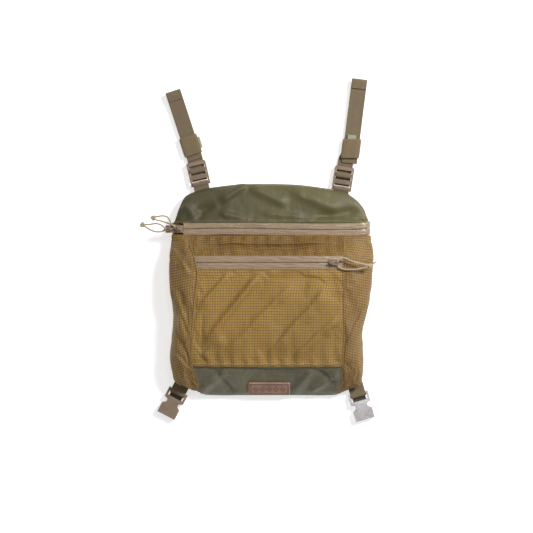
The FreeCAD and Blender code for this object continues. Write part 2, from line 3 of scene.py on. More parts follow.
import bmesh
import bpy
import numpy as np
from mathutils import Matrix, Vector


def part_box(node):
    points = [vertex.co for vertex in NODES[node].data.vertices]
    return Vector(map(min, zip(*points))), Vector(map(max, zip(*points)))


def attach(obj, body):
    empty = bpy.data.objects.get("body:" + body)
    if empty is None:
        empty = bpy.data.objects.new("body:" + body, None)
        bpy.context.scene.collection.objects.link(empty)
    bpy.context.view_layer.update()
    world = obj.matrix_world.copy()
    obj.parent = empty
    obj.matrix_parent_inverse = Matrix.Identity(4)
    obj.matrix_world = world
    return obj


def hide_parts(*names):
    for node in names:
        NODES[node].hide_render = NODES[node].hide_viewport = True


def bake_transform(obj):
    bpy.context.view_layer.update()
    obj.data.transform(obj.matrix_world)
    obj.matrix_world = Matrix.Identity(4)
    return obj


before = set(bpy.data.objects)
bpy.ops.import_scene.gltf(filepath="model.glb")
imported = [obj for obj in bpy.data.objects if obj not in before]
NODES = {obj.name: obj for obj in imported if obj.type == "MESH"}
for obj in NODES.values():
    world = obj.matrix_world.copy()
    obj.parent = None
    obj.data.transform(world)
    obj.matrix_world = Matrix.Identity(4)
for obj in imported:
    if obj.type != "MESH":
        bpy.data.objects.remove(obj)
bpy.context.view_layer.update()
MM = 0.001

# %% [markdown]
# ## Camera, floor and light
# The pack lies on its back and the camera looks straight down on it from far away, so that parallel edges
# stay parallel. A long lens at 3 m does that. The lens follows from the width that it has to show.
# %% Camera
VIEW_WIDTH = 0.682
VIEW_CENTRE = (-0.0054, 0.032)
VIEW_HEIGHT = 3.0
FACE_LEVEL = 0.03            # height of the pack's face above the floor


def camera_above(centre, height, width, level):
    """Camera looking down: lens = sensor width * distance / width shown."""
    data = bpy.data.cameras.new("camera")
    data.lens = data.sensor_width * (height - level) / width
    camera = bpy.data.objects.new("camera", data)
    camera.location = (*centre, height)
    bpy.context.scene.collection.objects.link(camera)
    bpy.context.scene.camera = camera
    return camera


camera = camera_above(VIEW_CENTRE, VIEW_HEIGHT, VIEW_WIDTH, FACE_LEVEL)
print("lens, mm:", round(camera.data.lens, 1))

# %% [markdown]
# A plain white floor lies just below the back. A little glow of its own keeps it an even white, as on a
# light table.
# %% Floor
FLOOR_Z = -0.001
FLOOR_GLOW = 0.55


def flat_floor(size):
    """One large square."""
    mesh = bpy.data.meshes.new("floor")
    half = size / 2
    corners = [(-half, -half, FLOOR_Z), (half, -half, FLOOR_Z), (half, half, FLOOR_Z), (-half, half, FLOOR_Z)]
    mesh.from_pydata(corners, [], [(0, 1, 2, 3)])
    floor = bpy.data.objects.new("floor", mesh)
    bpy.context.scene.collection.objects.link(floor)
    material = bpy.data.materials.new("floor_white")
    material.use_nodes = True
    shader = material.node_tree.nodes["Principled BSDF"]
    shader.inputs["Base Color"].default_value = (0.9, 0.9, 0.9, 1)
    shader.inputs["Roughness"].default_value = 0.9
    shader.inputs["Emission Color"].default_value = (1, 1, 1, 1)
    shader.inputs["Emission Strength"].default_value = FLOOR_GLOW
    mesh.materials.append(material)


flat_floor(4.0)
print("floor glow:", FLOOR_GLOW)

# %% [markdown]
# A soft light over the upper right makes the long highlights and shades of the folds. A large weak one fills
# the other side, and a small one high above the lid adds the streaks on the coated cloth.
# %% Lights
WORLD_GLOW = 0.25


def soft_light(name, place, aim, size, power):
    """Square area light at a place, turned to a point."""
    data = bpy.data.lights.new(name, "AREA")
    data.size = size
    data.energy = power
    lamp = bpy.data.objects.new(name, data)
    lamp.location = place
    direction = np.array(aim) - np.array(place)
    down = math.acos(-direction[2] / np.linalg.norm(direction))
    lamp.rotation_euler = (down, 0, math.atan2(direction[1], direction[0]) - math.pi / 2)
    bpy.context.scene.collection.objects.link(lamp)


soft_light("key_light", (1.05, 0.8, 1.35), (0, 0, 0), 0.45, 32)
soft_light("fill_light", (-1.1, -0.5, 1.6), (0, 0, 0), 1.6, 2)
soft_light("streak_light", (0.25, 0.85, 2.1), (0, 0, 0), 0.3, 3)
world = bpy.data.worlds.new("studio")
bpy.context.scene.world = world
world.use_nodes = True
world.node_tree.nodes["Background"].inputs["Color"].default_value = (1, 1, 1, 1)
world.node_tree.nodes["Background"].inputs["Strength"].default_value = WORLD_GLOW
bpy.context.scene.view_settings.view_transform = "Standard"
print("lights:", len(bpy.data.lights))

# %% [markdown]
# ## Pull cords
# Each zip pull has a short stiff cord. It runs from its knot, through the hole of the metal tab and back.
# Its control points are the route of the cord's solid.
# %% Cord routes, mm
CORD_R = 1.0
ROUTES = {                   # route and real length, in metres
    "inner": ([(-147.9, 95.2, 30.0), (-140.6, 97.1, 31.0), (-133.4, 96.5, 31.5), (-129.3, 92.4, 31.7),
               (-128.0, 86.9, 31.6), (-122.4, 82.9, 31.5), (-122.3, 82.8, 27.3), (-127.8, 85.9, 27.2),
               (-134.3, 88.4, 27.4), (-140.8, 90.6, 27.7), (-145.3, 91.0, 28.3), (-148.0, 92.6, 28.7)],
              0.0630),
    "outer": ([(-161.4, 85.9, 30.0), (-154.6, 85.7, 31.0), (-147.5, 87.2, 31.5), (-141.0, 86.0, 31.7),
               (-137.6, 83.4, 31.6), (-134.2, 80.0, 31.5), (-134.1, 79.9, 27.3), (-138.9, 76.8, 27.2),
               (-145.8, 76.2, 27.4), (-153.4, 78.3, 27.7), (-158.8, 82.0, 28.2), (-161.8, 84.0, 28.6)],
              0.0628),
    "pocket": ([(124.0, 33.9, 50.3), (113.0, 35.7, 51.4), (102.4, 39.0, 51.8), (93.8, 43.3, 51.9),
                (87.4, 42.8, 51.8), (84.3, 37.0, 51.6), (84.2, 36.8, 47.4), (86.6, 31.6, 47.3),
                (92.2, 28.4, 47.4), (101.8, 27.8, 47.6), (112.8, 28.8, 48.0), (123.9, 31.4, 49.0)], 0.0910),
}
print("cord lengths, mm:", {name: round(length / MM, 1) for name, (_, length) in ROUTES.items()})

# %% [markdown]
# A cord could be swept in mesh code, but a NURBS curve with a round bevel is the true way to make a thing
# that is one smooth line with one thickness.
# %% Cords
POINT_RADIUS = 0.001         # share of the bevel at each point; a curve's box grows by this, in metres


def round_curve(name, points, radius, closed=False):
    """Smooth NURBS line of order 3 through the pull of its points, with a round section."""
    data = bpy.data.curves.new(name, "CURVE")
    data.dimensions = "3D"
    spline = data.splines.new("NURBS")
    spline.points.add(len(points) - 1)
    spline.points.foreach_set("co", np.c_[np.array(points) * MM, np.ones(len(points))].ravel())
    spline.points.foreach_set("radius", np.full(len(points), POINT_RADIUS))
    spline.order_u = 3
    spline.use_endpoint_u = not closed
    spline.use_cyclic_u = closed
    spline.resolution_u = 8
    data.bevel_depth = radius * MM / POINT_RADIUS
    data.bevel_resolution = 3
    data.use_fill_caps = True
    curve = bpy.data.objects.new(name, data)
    bpy.context.scene.collection.objects.link(curve)
    return curve


cords = {name: round_curve(name + "_cord", route, CORD_R) for name, (route, _) in ROUTES.items()}
for name, cord in cords.items():
    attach(cord, name + "_pull")
    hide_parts(name + "_pull_cord")
print("cords:", sorted(cords))

# %% [markdown]
# Each cord ends in an overhand knot. A knot drawn as a ball looks like a bead, so this is a real one: a
# closed trefoil line, drawn tight, of cord pressed a little wide. The pocket's knot has a short tail.
# %% Knots
KNOTS = {"inner": ((-150.3, 94.3, 29.2), 3.8), "outer": ((-164.0, 85.5, 29.2), 3.8),
         "pocket": ((126.3, 32.9, 49.6), 3.3)}
TAIL = ((126.3, 32.9, 49.6), (130.2, 35.0, 49.6), (132.6, 37.3, 49.0), (134.6, 38.2, 48.6))
TREFOIL_REACH = 3.0          # the trefoil formula's own outer radius


KNOT_CORD_R = 1.35           # the drawn cord is pressed flat and wide in its knot
KNOT_TURNS = {"inner": 0.3, "outer": 1.1, "pocket": 2.0}


def trefoil(centre, radius, thick, turn):
    """x = sin t + 2 sin 2t, y = cos t - 2 cos 2t, z = -sin 3t, scaled to the knot's radius and turned."""
    t = np.linspace(0, 2 * np.pi, 30, endpoint=False)
    x = np.sin(t) + 2 * np.sin(2 * t)
    y = np.cos(t) - 2 * np.cos(2 * t)
    shape = np.c_[x, y, -1.3 * np.sin(3 * t)] * (radius - thick) / TREFOIL_REACH
    c, s = math.cos(turn), math.sin(turn)
    return shape @ np.array([(c, s, 0), (-s, c, 0), (0, 0, 1)]) + np.array(centre)


knots = {}
for name, (centre, radius) in KNOTS.items():
    line = trefoil(centre, radius, KNOT_CORD_R, KNOT_TURNS[name])
    knots[name] = round_curve(name + "_knot", line, KNOT_CORD_R, closed=True)
tail = round_curve("pocket_tail", TAIL, CORD_R)
for name, knot in knots.items():
    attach(knot, name + "_pull")
    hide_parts(name + "_cord_knot")
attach(tail, "pocket_pull")
print("knots:", len(knots))

# %% [markdown]
# ## Tools for surfaces
# Every sewn panel is a grid of points worked out in one go: one direction runs along the panel and one
# across it. The grid carries a UV map in metres, measured along the cloth, so that a woven pattern follows
# the folds and keeps its real size. First come the curves through given points.
# %% Curves
def curve_through(points, t):
    """Cubic Hermite spans through given points, by their share t of the length of the runs."""
    p = np.array(points, float)
    k = np.r_[0, np.cumsum(np.linalg.norm(np.diff(p, axis=0), axis=1))]
    slope = np.gradient(p, k, axis=0)
    s = np.clip(t, 0, 1) * k[-1]
    i = np.clip(np.searchsorted(k, s, side="right") - 1, 0, len(k) - 2)
    h = (k[i + 1] - k[i])[:, None]
    x = (s - k[i])[:, None] / h
    return ((2 * x**3 - 3 * x**2 + 1) * p[i] + (x**3 - 2 * x**2 + x) * h * slope[i]
            + (3 * x**2 - 2 * x**3) * p[i + 1] + (x**3 - x**2) * h * slope[i + 1])


def at_y(points, y):
    """Points of a curve through listed points, at given Y: the curve is sampled finely and read off by its Y.
    """
    fine = curve_through(points, np.linspace(0, 1, 800))
    fine = fine[np.argsort(fine[:, 1])]
    return np.c_[np.interp(y, fine[:, 1], fine[:, 0]), y, np.interp(y, fine[:, 1], fine[:, 2])]


def unit(v):
    """Vectors divided by their lengths."""
    return v / np.maximum(np.linalg.norm(v, axis=-1, keepdims=True), 1e-9)


def normals(grid):
    """Cross product of the two directions of a grid."""
    return unit(np.cross(np.gradient(grid, axis=1), np.gradient(grid, axis=0)))


print("curve tools ready")

# %% [markdown]
# A grid needs its quads and its map. The map is not drawn by hand: lengths along the cloth are added up.
# %% Grids and their maps
def grid_faces(rows, cols, wrap=False):
    """Corner numbers of the quads of a grid, closed round its columns if it wraps."""
    r = np.arange(rows - 1)[:, None]
    c = np.arange(cols if wrap else cols - 1)[None, :]
    after = (c + 1) % cols
    corners = [r * cols + c, r * cols + after, (r + 1) * cols + after, (r + 1) * cols + c]
    return np.stack(corners, -1).reshape(-1, 4)


def cloth_uv(grid, wrap=False):
    """Lengths along the cloth, in metres: u along each row and v along each column, from the middle."""
    u = np.cumsum(np.linalg.norm(np.diff(grid, axis=1, prepend=grid[:, :1]), axis=-1), axis=1)
    v = np.cumsum(np.linalg.norm(np.diff(grid, axis=0, prepend=grid[:1]), axis=-1), axis=0)
    middle = grid.shape[1] // 2
    shift = 0 if wrap else u[:, middle:middle + 1]
    return np.stack([u - shift, np.broadcast_to(v[:, middle:middle + 1], v.shape)], -1) * MM


print("grid tools ready")

# %% [markdown]
# A piece is made from its points and faces. It notes its body and slot at once, and waits for its finish,
# because the finishes come after all the shapes.
# %% Pieces
MATERIALS = {}               # filled by name, in the cells on finishes
WAITING = []                 # pieces with the finishes that they will get


def make_piece(name, points, faces, finish, body, uv=None, closed=False):
    """Mesh object from points in mm, with its finish, body and material slot."""
    mesh = bpy.data.meshes.new(name)
    mesh.from_pydata(np.reshape(points, (-1, 3)) * MM, [], np.asarray(faces).tolist())
    if uv is not None:
        layer = mesh.uv_layers.new(name="cloth")
        layer.data.foreach_set("uv", np.reshape(uv, (-1, 2))[np.asarray(faces).ravel()].ravel())
    if closed:
        close_up(mesh)
    mesh.shade_smooth()
    piece = bpy.data.objects.new(name, mesh)
    bpy.context.scene.collection.objects.link(piece)
    finish_as(piece, finish, body)
    return piece


def close_up(mesh):
    """Merge the doubled points of poles and seams, then turn all faces outwards."""
    bm = bmesh.new()
    bm.from_mesh(mesh)
    bmesh.ops.remove_doubles(bm, verts=bm.verts, dist=2e-6)
    bmesh.ops.dissolve_degenerate(bm, edges=bm.edges, dist=1e-6)
    bmesh.ops.recalc_face_normals(bm, faces=bm.faces)
    bm.to_mesh(mesh)
    bm.free()


def finish_as(piece, finish, body):
    """Body, material slot and the finishes to give once they are made."""
    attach(piece, body)
    WAITING.append((piece, [finish] if isinstance(finish, str) else finish))
    return piece


print("piece tools ready")

# %% [markdown]
# Straps, coils, seams and bars are all one thing: a section carried along a path, closed at both ends.
# %% Sweeps
def carried(path, section, across=None):
    """A section of (across, rise) points at each point of a path; across = tangent x up unless given."""
    tangent = unit(np.gradient(path, axis=0))
    if across is None:
        across = unit(np.cross(tangent, (0.0, 0.0, 1.0)))
    across = np.broadcast_to(np.asarray(across, float), path.shape)
    rise = unit(np.cross(across, tangent))
    ring = np.asarray(section, float)
    return (path[:, None] + across[:, None] * ring[None, :, :1] + rise[:, None] * ring[None, :, 1:])


def capped(rings):
    """Closed ends: the first and last ring are followed by their middle points."""
    ends = [np.broadcast_to(r.mean(axis=0), r.shape)[None] for r in (rings[0], rings[-1])]
    return np.concatenate([ends[0], rings, ends[1]])


def oval(width, height, count, square=2.0):
    """Superellipse ring: |x/a|^n + |y/b|^n = 1, rounder for n = 2 and squarer above."""
    a = np.linspace(0, 2 * np.pi, count, endpoint=False)
    c, s = np.cos(a), np.sin(a)
    power = 2.0 / square
    return np.c_[width / 2 * np.sign(c) * np.abs(c)**power, height / 2 * np.sign(s) * np.abs(s)**power]


def swept(name, path, section, finish, body, across=None):
    """Closed tube of a section along a path, with UV in metres round and along it."""
    rings = capped(carried(np.asarray(path, float), section, across))
    loop = np.concatenate([rings, rings[:, :1]], axis=1)
    return make_piece(name, loop, grid_faces(*loop.shape[:2]), finish, body, cloth_uv(loop, True), True)


print("sweep tools ready")

# %% [markdown]
# ## The sewn bag
# The bag is sewn from flat panels of thin cloth, so it is made panel by panel. A panel's middle line and its
# two edges are a few listed points; the grid turns smoothly from one to the other. Neighbours share an edge.
# %% Edges of the panels, mm
LEFT_FRONT = [(-89, -131.5, 13), (-94, -115, 25.5), (-100, -97, 39), (-100.5, -60, 43.3), (-97, -10, 44),
              (-94, 28, 43.5), (-98, 45, 42.4), (-103, 60, 32.5), (-104, 72.3, 24.4)]
LEFT_BULGE = [(-90, -130.2, 9.5), (-112, -123, 12.5), (-124, -116, 15.5), (-128.3, -102, 17.5),
              (-128.9, -80, 18), (-127, -35, 19), (-131, 20, 20), (-129.5, 50, 19), (-127.6, 72.3, 17)]
LEFT_BACK = [(-84, -132.5, 5), (-95, -124, 5), (-101.5, -110, 5.5), (-102, -90, 6), (-102, -50, 6),
             (-102, 0, 6), (-102, 50, 6), (-102, 72.3, 6)]
RIGHT_FRONT = [(86, -131.5, 13), (91.3, -115, 25.5), (92, -97, 39), (93, -60, 43.3), (93.2, -10, 44),
               (92.5, 28, 43.5), (93, 45, 42.4), (94, 60, 32.5), (95, 72.3, 24.4)]
RIGHT_BULGE = [(87, -130.5, 9.5), (104, -126, 12), (116, -120.5, 15.5), (118.5, -110, 17), (120.7, -96, 18),
               (120.9, -42, 19), (125, -27, 19), (128.6, -8, 19.5), (130, 20, 20), (130.9, 43, 19),
               (128.4, 72.3, 17)]
RIGHT_BACK = [(-x, y, z) for x, y, z in LEFT_BACK]
BAND_LINE = [(44.7, 43.8), (47, 42.9), (50.6, 39.5), (55, 35.6), (58.5, 32.6), (63, 31.2),
             (68.5, 27), (72.3, 24.6)]
POCKET_LINE = [(-96.2, 42.3), (-93, 43.7), (-85, 44.8), (-60, 46.6), (-20, 46.9), (15, 45.4), (28.8, 44.3)]
BOTTOM_LINE = [(-131.8, 5), (-133.2, 8.5), (-131, 12.5), (-124, 18.6), (-116, 25), (-108, 31.5), (-100, 38),
               (-94.5, 41.4)]
BOTTOM_LEFT = [(-84, -131.5, 5), (-87, -132.8, 8.5), *LEFT_FRONT[:3], (-100.4, -94.5, 39.8)]
BOTTOM_RIGHT = [(84, -131.5, 5), (85.5, -132.8, 8.5), *RIGHT_FRONT[:3], (92.2, -94.5, 39.8)]
print("front edges, mm:", len(LEFT_FRONT), "and", len(RIGHT_FRONT), "hand points")

# %% [markdown]
# Three kinds of relief make a sewn panel look used. A fold is a long soft bell along a line. Crinkles are
# many small bent waves. Gathers are short waves that die away from a seam, where the thread pulls it tight.
# %% Relief
def fold(grid, start, end, height, near, far):
    """Bell exp(-(d/w)^2) across the line from start to end, fading to its ends; w is near or far by side."""
    a, b = np.array(start, float), np.array(end, float)
    along = b - a
    length = np.linalg.norm(along)
    p = grid[..., :2] - a
    share = p @ along / length**2
    off = (p @ np.array((-along[1], along[0]))) / length
    width = np.where(off > 0, near, far)
    fade = np.clip(np.minimum(share, 1 - share) / 0.3 + 0.35, 0, 1)
    return height * np.exp(-(off / width)**2) * fade * fade * (3 - 2 * fade)


print("folds ready")

# %% [markdown]
# The small relief is drawn by chance, with a seed of its own for each panel, so it is always the same.
# %% Crinkles and gathers
def crinkle(grid, size, height, seed):
    """Sum of seven bent waves in drawn directions, sin(k.p + sin(q.p)), that comes and goes slowly."""
    draw = np.random.default_rng(seed)
    p = grid / size
    total = np.zeros(grid.shape[:2])
    for _ in range(7):
        k, q, g = unit(draw.normal(size=(3, 3)))
        shift = draw.uniform(0, 2 * np.pi, 3)
        bent = np.sin(p @ q * 0.9 + shift[0]) * 1.4
        comes = 0.5 + 0.5 * np.sin(p @ g * 0.45 + shift[1])
        total += comes * np.sin(p @ k * 1.2 + bent + shift[2])
    return height * total / 2.2


def gathers(distance, along, reach, pitch, height, seed):
    """Waves along a seam, sin(2 pi s / pitch) with drifting phase, times exp(-distance / reach)."""
    draw = np.random.default_rng(seed)
    drift = sum(draw.uniform(0.5, 1.2) * np.sin(along / draw.uniform(15, 40) + draw.uniform(0, 6))
                for _ in range(3))
    return height * np.sin(2 * np.pi * along / pitch + drift) * np.exp(-distance / reach)


def raised(grid, height):
    """The grid moved along its normals."""
    return grid + normals(grid) * height[..., None]


print("small relief ready")

# %% [markdown]
# Most panels are a middle line with two edges, so one function makes the grid and another the still border.
# %% Panel grids
def between(left, right, middle, cols, square=6):
    """X runs evenly from edge to edge; Y and Z follow the middle and turn to the edges by |2u - 1|^n."""
    u = np.linspace(0, 1, cols)
    grid = left[:, None] * (1 - u)[None, :, None] + right[:, None] * u[None, :, None]
    hold = (1 - np.abs(2 * u - 1)**square)[None, :, None]
    grid[..., 1:] += (middle[:, None] - grid[..., 1:]) * hold
    return grid


def edge_fade(grid, rings=4):
    """0 on the border of a grid, 1 a few rows inside."""
    rows, cols = grid.shape[:2]
    r = np.minimum(np.arange(rows), np.arange(rows)[::-1])[:, None]
    c = np.minimum(np.arange(cols), np.arange(cols)[::-1])[None, :]
    return np.clip(np.minimum(r, c) / rings, 0, 1)


def with_folds(grid, height, folds, taller=1.0, sharper=1.0):
    """Height plus a table of folds; the near side of each may be drawn in and all may be made taller."""
    for start, end, size, near, far in folds:
        height = height + fold(grid, start, end, taller * size, sharper * near, far)
    return height


print("panel tools ready")

# %% [markdown]
# Real cloth finds its own small folds. Each panel is held at its seams, made a few percent larger than its
# frame and blown up gently, with no gravity, for a few frames. How far a point may go is capped, so that
# the panel stays clear of its neighbours, and the result becomes the mesh itself.
# %% Cloth
CLOTH_FRAMES = 14
PIN_RINGS = 2


def pinned_weights(rows, cols):
    """Points of the outer rings are held."""
    r = np.minimum(np.arange(rows), np.arange(rows)[::-1])[:, None]
    c = np.minimum(np.arange(cols), np.arange(cols)[::-1])[None, :]
    return np.minimum(r, c) < PIN_RINGS


def settle(piece, shape, slack, pressure, cap):
    """Cloth on the piece for some frames; moves are scaled down to the cap and kept in the mesh."""
    mesh = piece.data
    before = np.zeros(len(mesh.vertices) * 3)
    mesh.vertices.foreach_get("co", before)
    held = piece.vertex_groups.new(name="held")
    held.add(np.flatnonzero(pinned_weights(*shape).ravel()).tolist(), 1.0, "REPLACE")
    modifier = piece.modifiers.new("cloth", "CLOTH")
    cloth = modifier.settings
    cloth.quality = 4
    cloth.mass = 0.12
    cloth.tension_stiffness = 12
    cloth.compression_stiffness = 12
    cloth.shear_stiffness = 4
    cloth.bending_stiffness = 0.08
    cloth.air_damping = 2
    cloth.vertex_group_mass = "held"
    cloth.shrink_min = -slack
    cloth.use_pressure = True
    cloth.uniform_pressure_force = pressure
    cloth.effector_weights.gravity = 0
    modifier.collision_settings.use_collision = False
    modifier.point_cache.frame_end = CLOTH_FRAMES
    for step in range(1, CLOTH_FRAMES + 1):
        bpy.context.scene.frame_set(step)
    done = piece.evaluated_get(bpy.context.evaluated_depsgraph_get())
    after = np.zeros(len(before))
    done.data.vertices.foreach_get("co", after)
    piece.modifiers.remove(modifier)
    bpy.context.scene.frame_set(1)
    move = (after - before).reshape(-1, 3)
    far = np.linalg.norm(move, axis=1, keepdims=True)
    limit = cap * MM
    move *= limit * np.tanh(far / limit) / np.maximum(far, 1e-9)
    mesh.vertices.foreach_set("co", before + move.ravel())
    mesh.update()
    most = float(far.max() / MM)
    print(piece.name, "cloth moved", round(most, 1), "mm, kept", round(math.tanh(most / cap) * cap, 1))


print("cloth frames:", CLOTH_FRAMES)

# %% [markdown]
# A panel is then made in one call: its grid, its cloth, a wall inwards with a lining, one subdivision.
# %% Sewn panels
def sewn_panel(name, grid, finish, body, nodes, slack=0.03, pressure=1.0, cap=2.5, thick=1.0):
    """One panel: grid to mesh, cloth, a wall inwards with a lining behind, one subdivision."""
    faces = grid_faces(*grid.shape[:2])
    piece = make_piece(name, grid, faces, [finish, "lining"], body, cloth_uv(grid))
    if slack:
        settle(piece, grid.shape[:2], slack, pressure, cap)
    points = np.zeros(grid.size)
    piece.data.vertices.foreach_get("co", points)
    wall = piece.modifiers.new("wall", "SOLIDIFY")
    wall.thickness = thick * MM
    wall.offset = -1
    wall.material_offset = 1
    smooth = piece.modifiers.new("smooth", "SUBSURF")
    smooth.levels = smooth.render_levels = 1
    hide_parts(*nodes)
    return piece, points.reshape(grid.shape) / MM


print("cloth ready; quick look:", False)

# %% [markdown]
# The two gussets are the ripstop sides. Seen end on, each is two quarter ellipses: from the front edge out
# to the widest line, and from there in to the back seam. Long creases cross them where the pack folds.
# %% Gussets
GUSSET_ROWS, GUSSET_COLS = 130, 34


def gusset_grid(front, bulge, back, side):
    """x and z run on quarter ellipses, by the sine and cosine of one angle, between the three edge lines."""
    t = np.linspace(0, 1, GUSSET_ROWS)
    f, b, k = (curve_through(edge, t)[:, None] for edge in (front, bulge, back))
    a = np.linspace(0, np.pi / 2, GUSSET_COLS)[None, :, None]
    upper = f + (b - f) * np.sin(a)
    upper[..., 2] = (b + (f - b) * np.cos(a))[..., 2]
    lower = k + (b - k) * np.cos(a)
    lower[..., 2] = (b - (b - k) * np.sin(a))[..., 2]
    grid = np.concatenate([upper, lower[:, 1:]], axis=1)
    return grid if side > 0 else grid[:, ::-1]


def gusset_relief(grid, folds, seed):
    """Long folds, crinkles and gathers at both seams; still at the edges."""
    rows, cols = grid.shape[:2]
    across = np.linspace(0, 1, cols)[None, :]
    still = np.clip(np.minimum(across, 1 - across) * 9, 0, 1) * np.clip(
        np.minimum(np.arange(rows), np.arange(rows)[::-1])[:, None] / 5, 0, 1)
    face = np.clip((grid[..., 2] - 15) / 12, 0, 1)
    height = crinkle(grid, 9, 0.45, seed) + crinkle(grid, 22, 0.7, seed + 1)
    for start, end, size, near, far in folds:
        height = height + fold(grid, start, end, size, near, far) * face
    return raised(grid, height * still)


LEFT_FOLDS = [((-129, 12), (-100, -66), 2.6, 5, 11), ((-127, -78), (-97, -110), 1.8, 4, 7),
              ((-127, 55), (-104, 20), 1.5, 5, 8), ((-128, -30), (-108, -88), -1.6, 5, 5)]
RIGHT_FOLDS = [((129, -2), (94, -76), 2.4, 8, 4), ((121, -62), (100, -92), 1.8, 4, 5),
               ((128, 48), (98, 22), 1.6, 6, 5), ((126, 22), (98, -40), -1.6, 6, 6)]
SIDES = {"left": ((LEFT_FRONT, LEFT_BULGE, LEFT_BACK, -1), LEFT_FOLDS, 11),
         "right": ((RIGHT_FRONT, RIGHT_BULGE, RIGHT_BACK, 1), RIGHT_FOLDS, 23)}
# the gussets get the darker side ripstop: painted shade of the sloping sides
gussets = {name: sewn_panel(name + "_gusset_cloth", gusset_relief(gusset_grid(*edges), folds, seed),
                            "ripstop_side", "bag", [name + "_gusset"], cap=2.2)
           for name, (edges, folds, seed) in SIDES.items()}

# %% [markdown]
# The pocket's face is the largest panel. It is nearly flat, with broad soft folds that climb from the lower
# left to the upper right, and a rolled hem at its foot that the stitches gather.
# %% Pocket face
HEM_Y = -89.5                # line of stitches above the pocket's lower edge
HEM_ROLL = 0.7
POCKET_FOLDS = [((-82, -66), (-14, 22), 3.2, 10, 7), ((-58, -80), (30, 10), 2.7, 12, 8),
                ((0, -78), (76, 8), 2.8, 9, 11), ((30, -84), (88, -30), 2.3, 8, 8),
                ((-90, -20), (-52, 24), 2.0, 8, 6), ((-88, -84), (-60, -58), 1.8, 7, 7)]


def pocket_grid():
    """Rows up the pocket's face, with its folds and the gathers of its hem."""
    rows, cols = 84, 126
    middle = curve_through(POCKET_LINE, np.linspace(0, 1, rows))
    left, right = at_y(LEFT_FRONT, middle[:, 0]), at_y(RIGHT_FRONT, middle[:, 0])
    grid = between(left, right, middle, cols)
    x, y = grid[..., 0], grid[..., 1]
    height = crinkle(grid, 13, 0.35, 31) + crinkle(grid, 30, 1.1, 32)
    height = with_folds(grid, height, POCKET_FOLDS, 1.7, 0.55)
    hem = gathers(np.abs(y - HEM_Y), x, 12, 17, 0.9, 33) * edge_fade(grid, 2)
    height = (height - 1.6) * edge_fade(grid, 8) + hem
    height += HEM_ROLL * np.exp(-((y - HEM_Y + 3.6) / 2.2)**2) - 0.5 * np.exp(-((y - HEM_Y) / 1.1)**2)
    top = np.clip((y - 27) / 4, 0, 1)
    return raised(grid, height * (1 - top) * np.clip((32 - y) / 6, 0, 1))


pocket, pocket_points = sewn_panel("pocket_cloth", pocket_grid(), "ripstop_face", "bag",
                                   ["pocket_panel"], slack=0.022, cap=1.6)
print("pocket face:", pocket_points.shape[:2])

# %% [markdown]
# The band above the pocket drops to the main zip in one deep fold.
# %% Band
def band_grid():
    """Rows from the pocket's zip up to the main zip, with the long fold and two upright seams."""
    rows, cols = 34, 130
    middle = curve_through(BAND_LINE, np.linspace(0, 1, rows))
    left, right = at_y(LEFT_FRONT, middle[:, 0]), at_y(RIGHT_FRONT, middle[:, 0])
    grid = between(left, right, middle, cols, 8)
    x = grid[..., 0]
    height = crinkle(grid, 9, 0.55, 41) + crinkle(grid, 22, 1.1, 42)
    height = height + fold(grid, (-78, 58.5), (60, 58.0), -3.0, 2.2, 3.4)
    height = height + fold(grid, (-60, 63.5), (88, 62.5), 1.6, 2.4, 3.5)
    height = height + gathers(np.abs(grid[..., 1] - 68), x, 6, 17, 0.5, 43) + gathers(
        np.abs(grid[..., 1] - 50), x, 5, 15, 0.45, 44)
    return raised(grid, height * edge_fade(grid, 4))


# the band gets a darker copy of the face ripstop: painted shade
band, band_points = sewn_panel("band_cloth", band_grid(), "ripstop_band_painted_shade", "bag",
                               ["front_upper_band"], slack=0.03, cap=1.5)
print("band:", band_points.shape[:2])

# %% [markdown]
# The bottom is a plain olive panel that curls under. It stays flat where the leather patch lies on it.
# %% Bottom
BOTTOM_FOLDS = [((-92, -126), (-58, -102), 2.8, 5, 7), ((50, -128), (88, -104), 2.6, 6, 5),
                ((-70, -100), (-46, -128), -2.0, 5, 6), ((28, -128), (52, -100), 2.2, 5, 6),
                ((-30, -98), (24, -106), 1.6, 3, 5), ((60, -98), (84, -118), -2.0, 5, 5)]


def bottom_grid():
    """Rows from under the lower edge up to the pocket's hem, with a few wide dents."""
    rows, cols = 44, 120
    t = np.linspace(0, 1, rows)
    middle = curve_through(BOTTOM_LINE, t)
    grid = between(curve_through(BOTTOM_LEFT, t), curve_through(BOTTOM_RIGHT, t), middle, cols, 8)
    height = crinkle(grid, 15, 0.3, 51) + crinkle(grid, 38, 0.9, 52)
    height = with_folds(grid, height, BOTTOM_FOLDS, 1.5, 0.7)
    flat = 1 - np.exp(-((grid[..., 0] + 2) / 36)**6)
    return raised(grid, height * edge_fade(grid, 5) * (0.15 + 0.85 * flat))


bottom, bottom_points = sewn_panel("bottom_cloth", bottom_grid(), "olive_base", "bag",
                                   ["bottom_panel"], slack=0.012, cap=1.0)
print("bottom:", bottom_points.shape[:2])

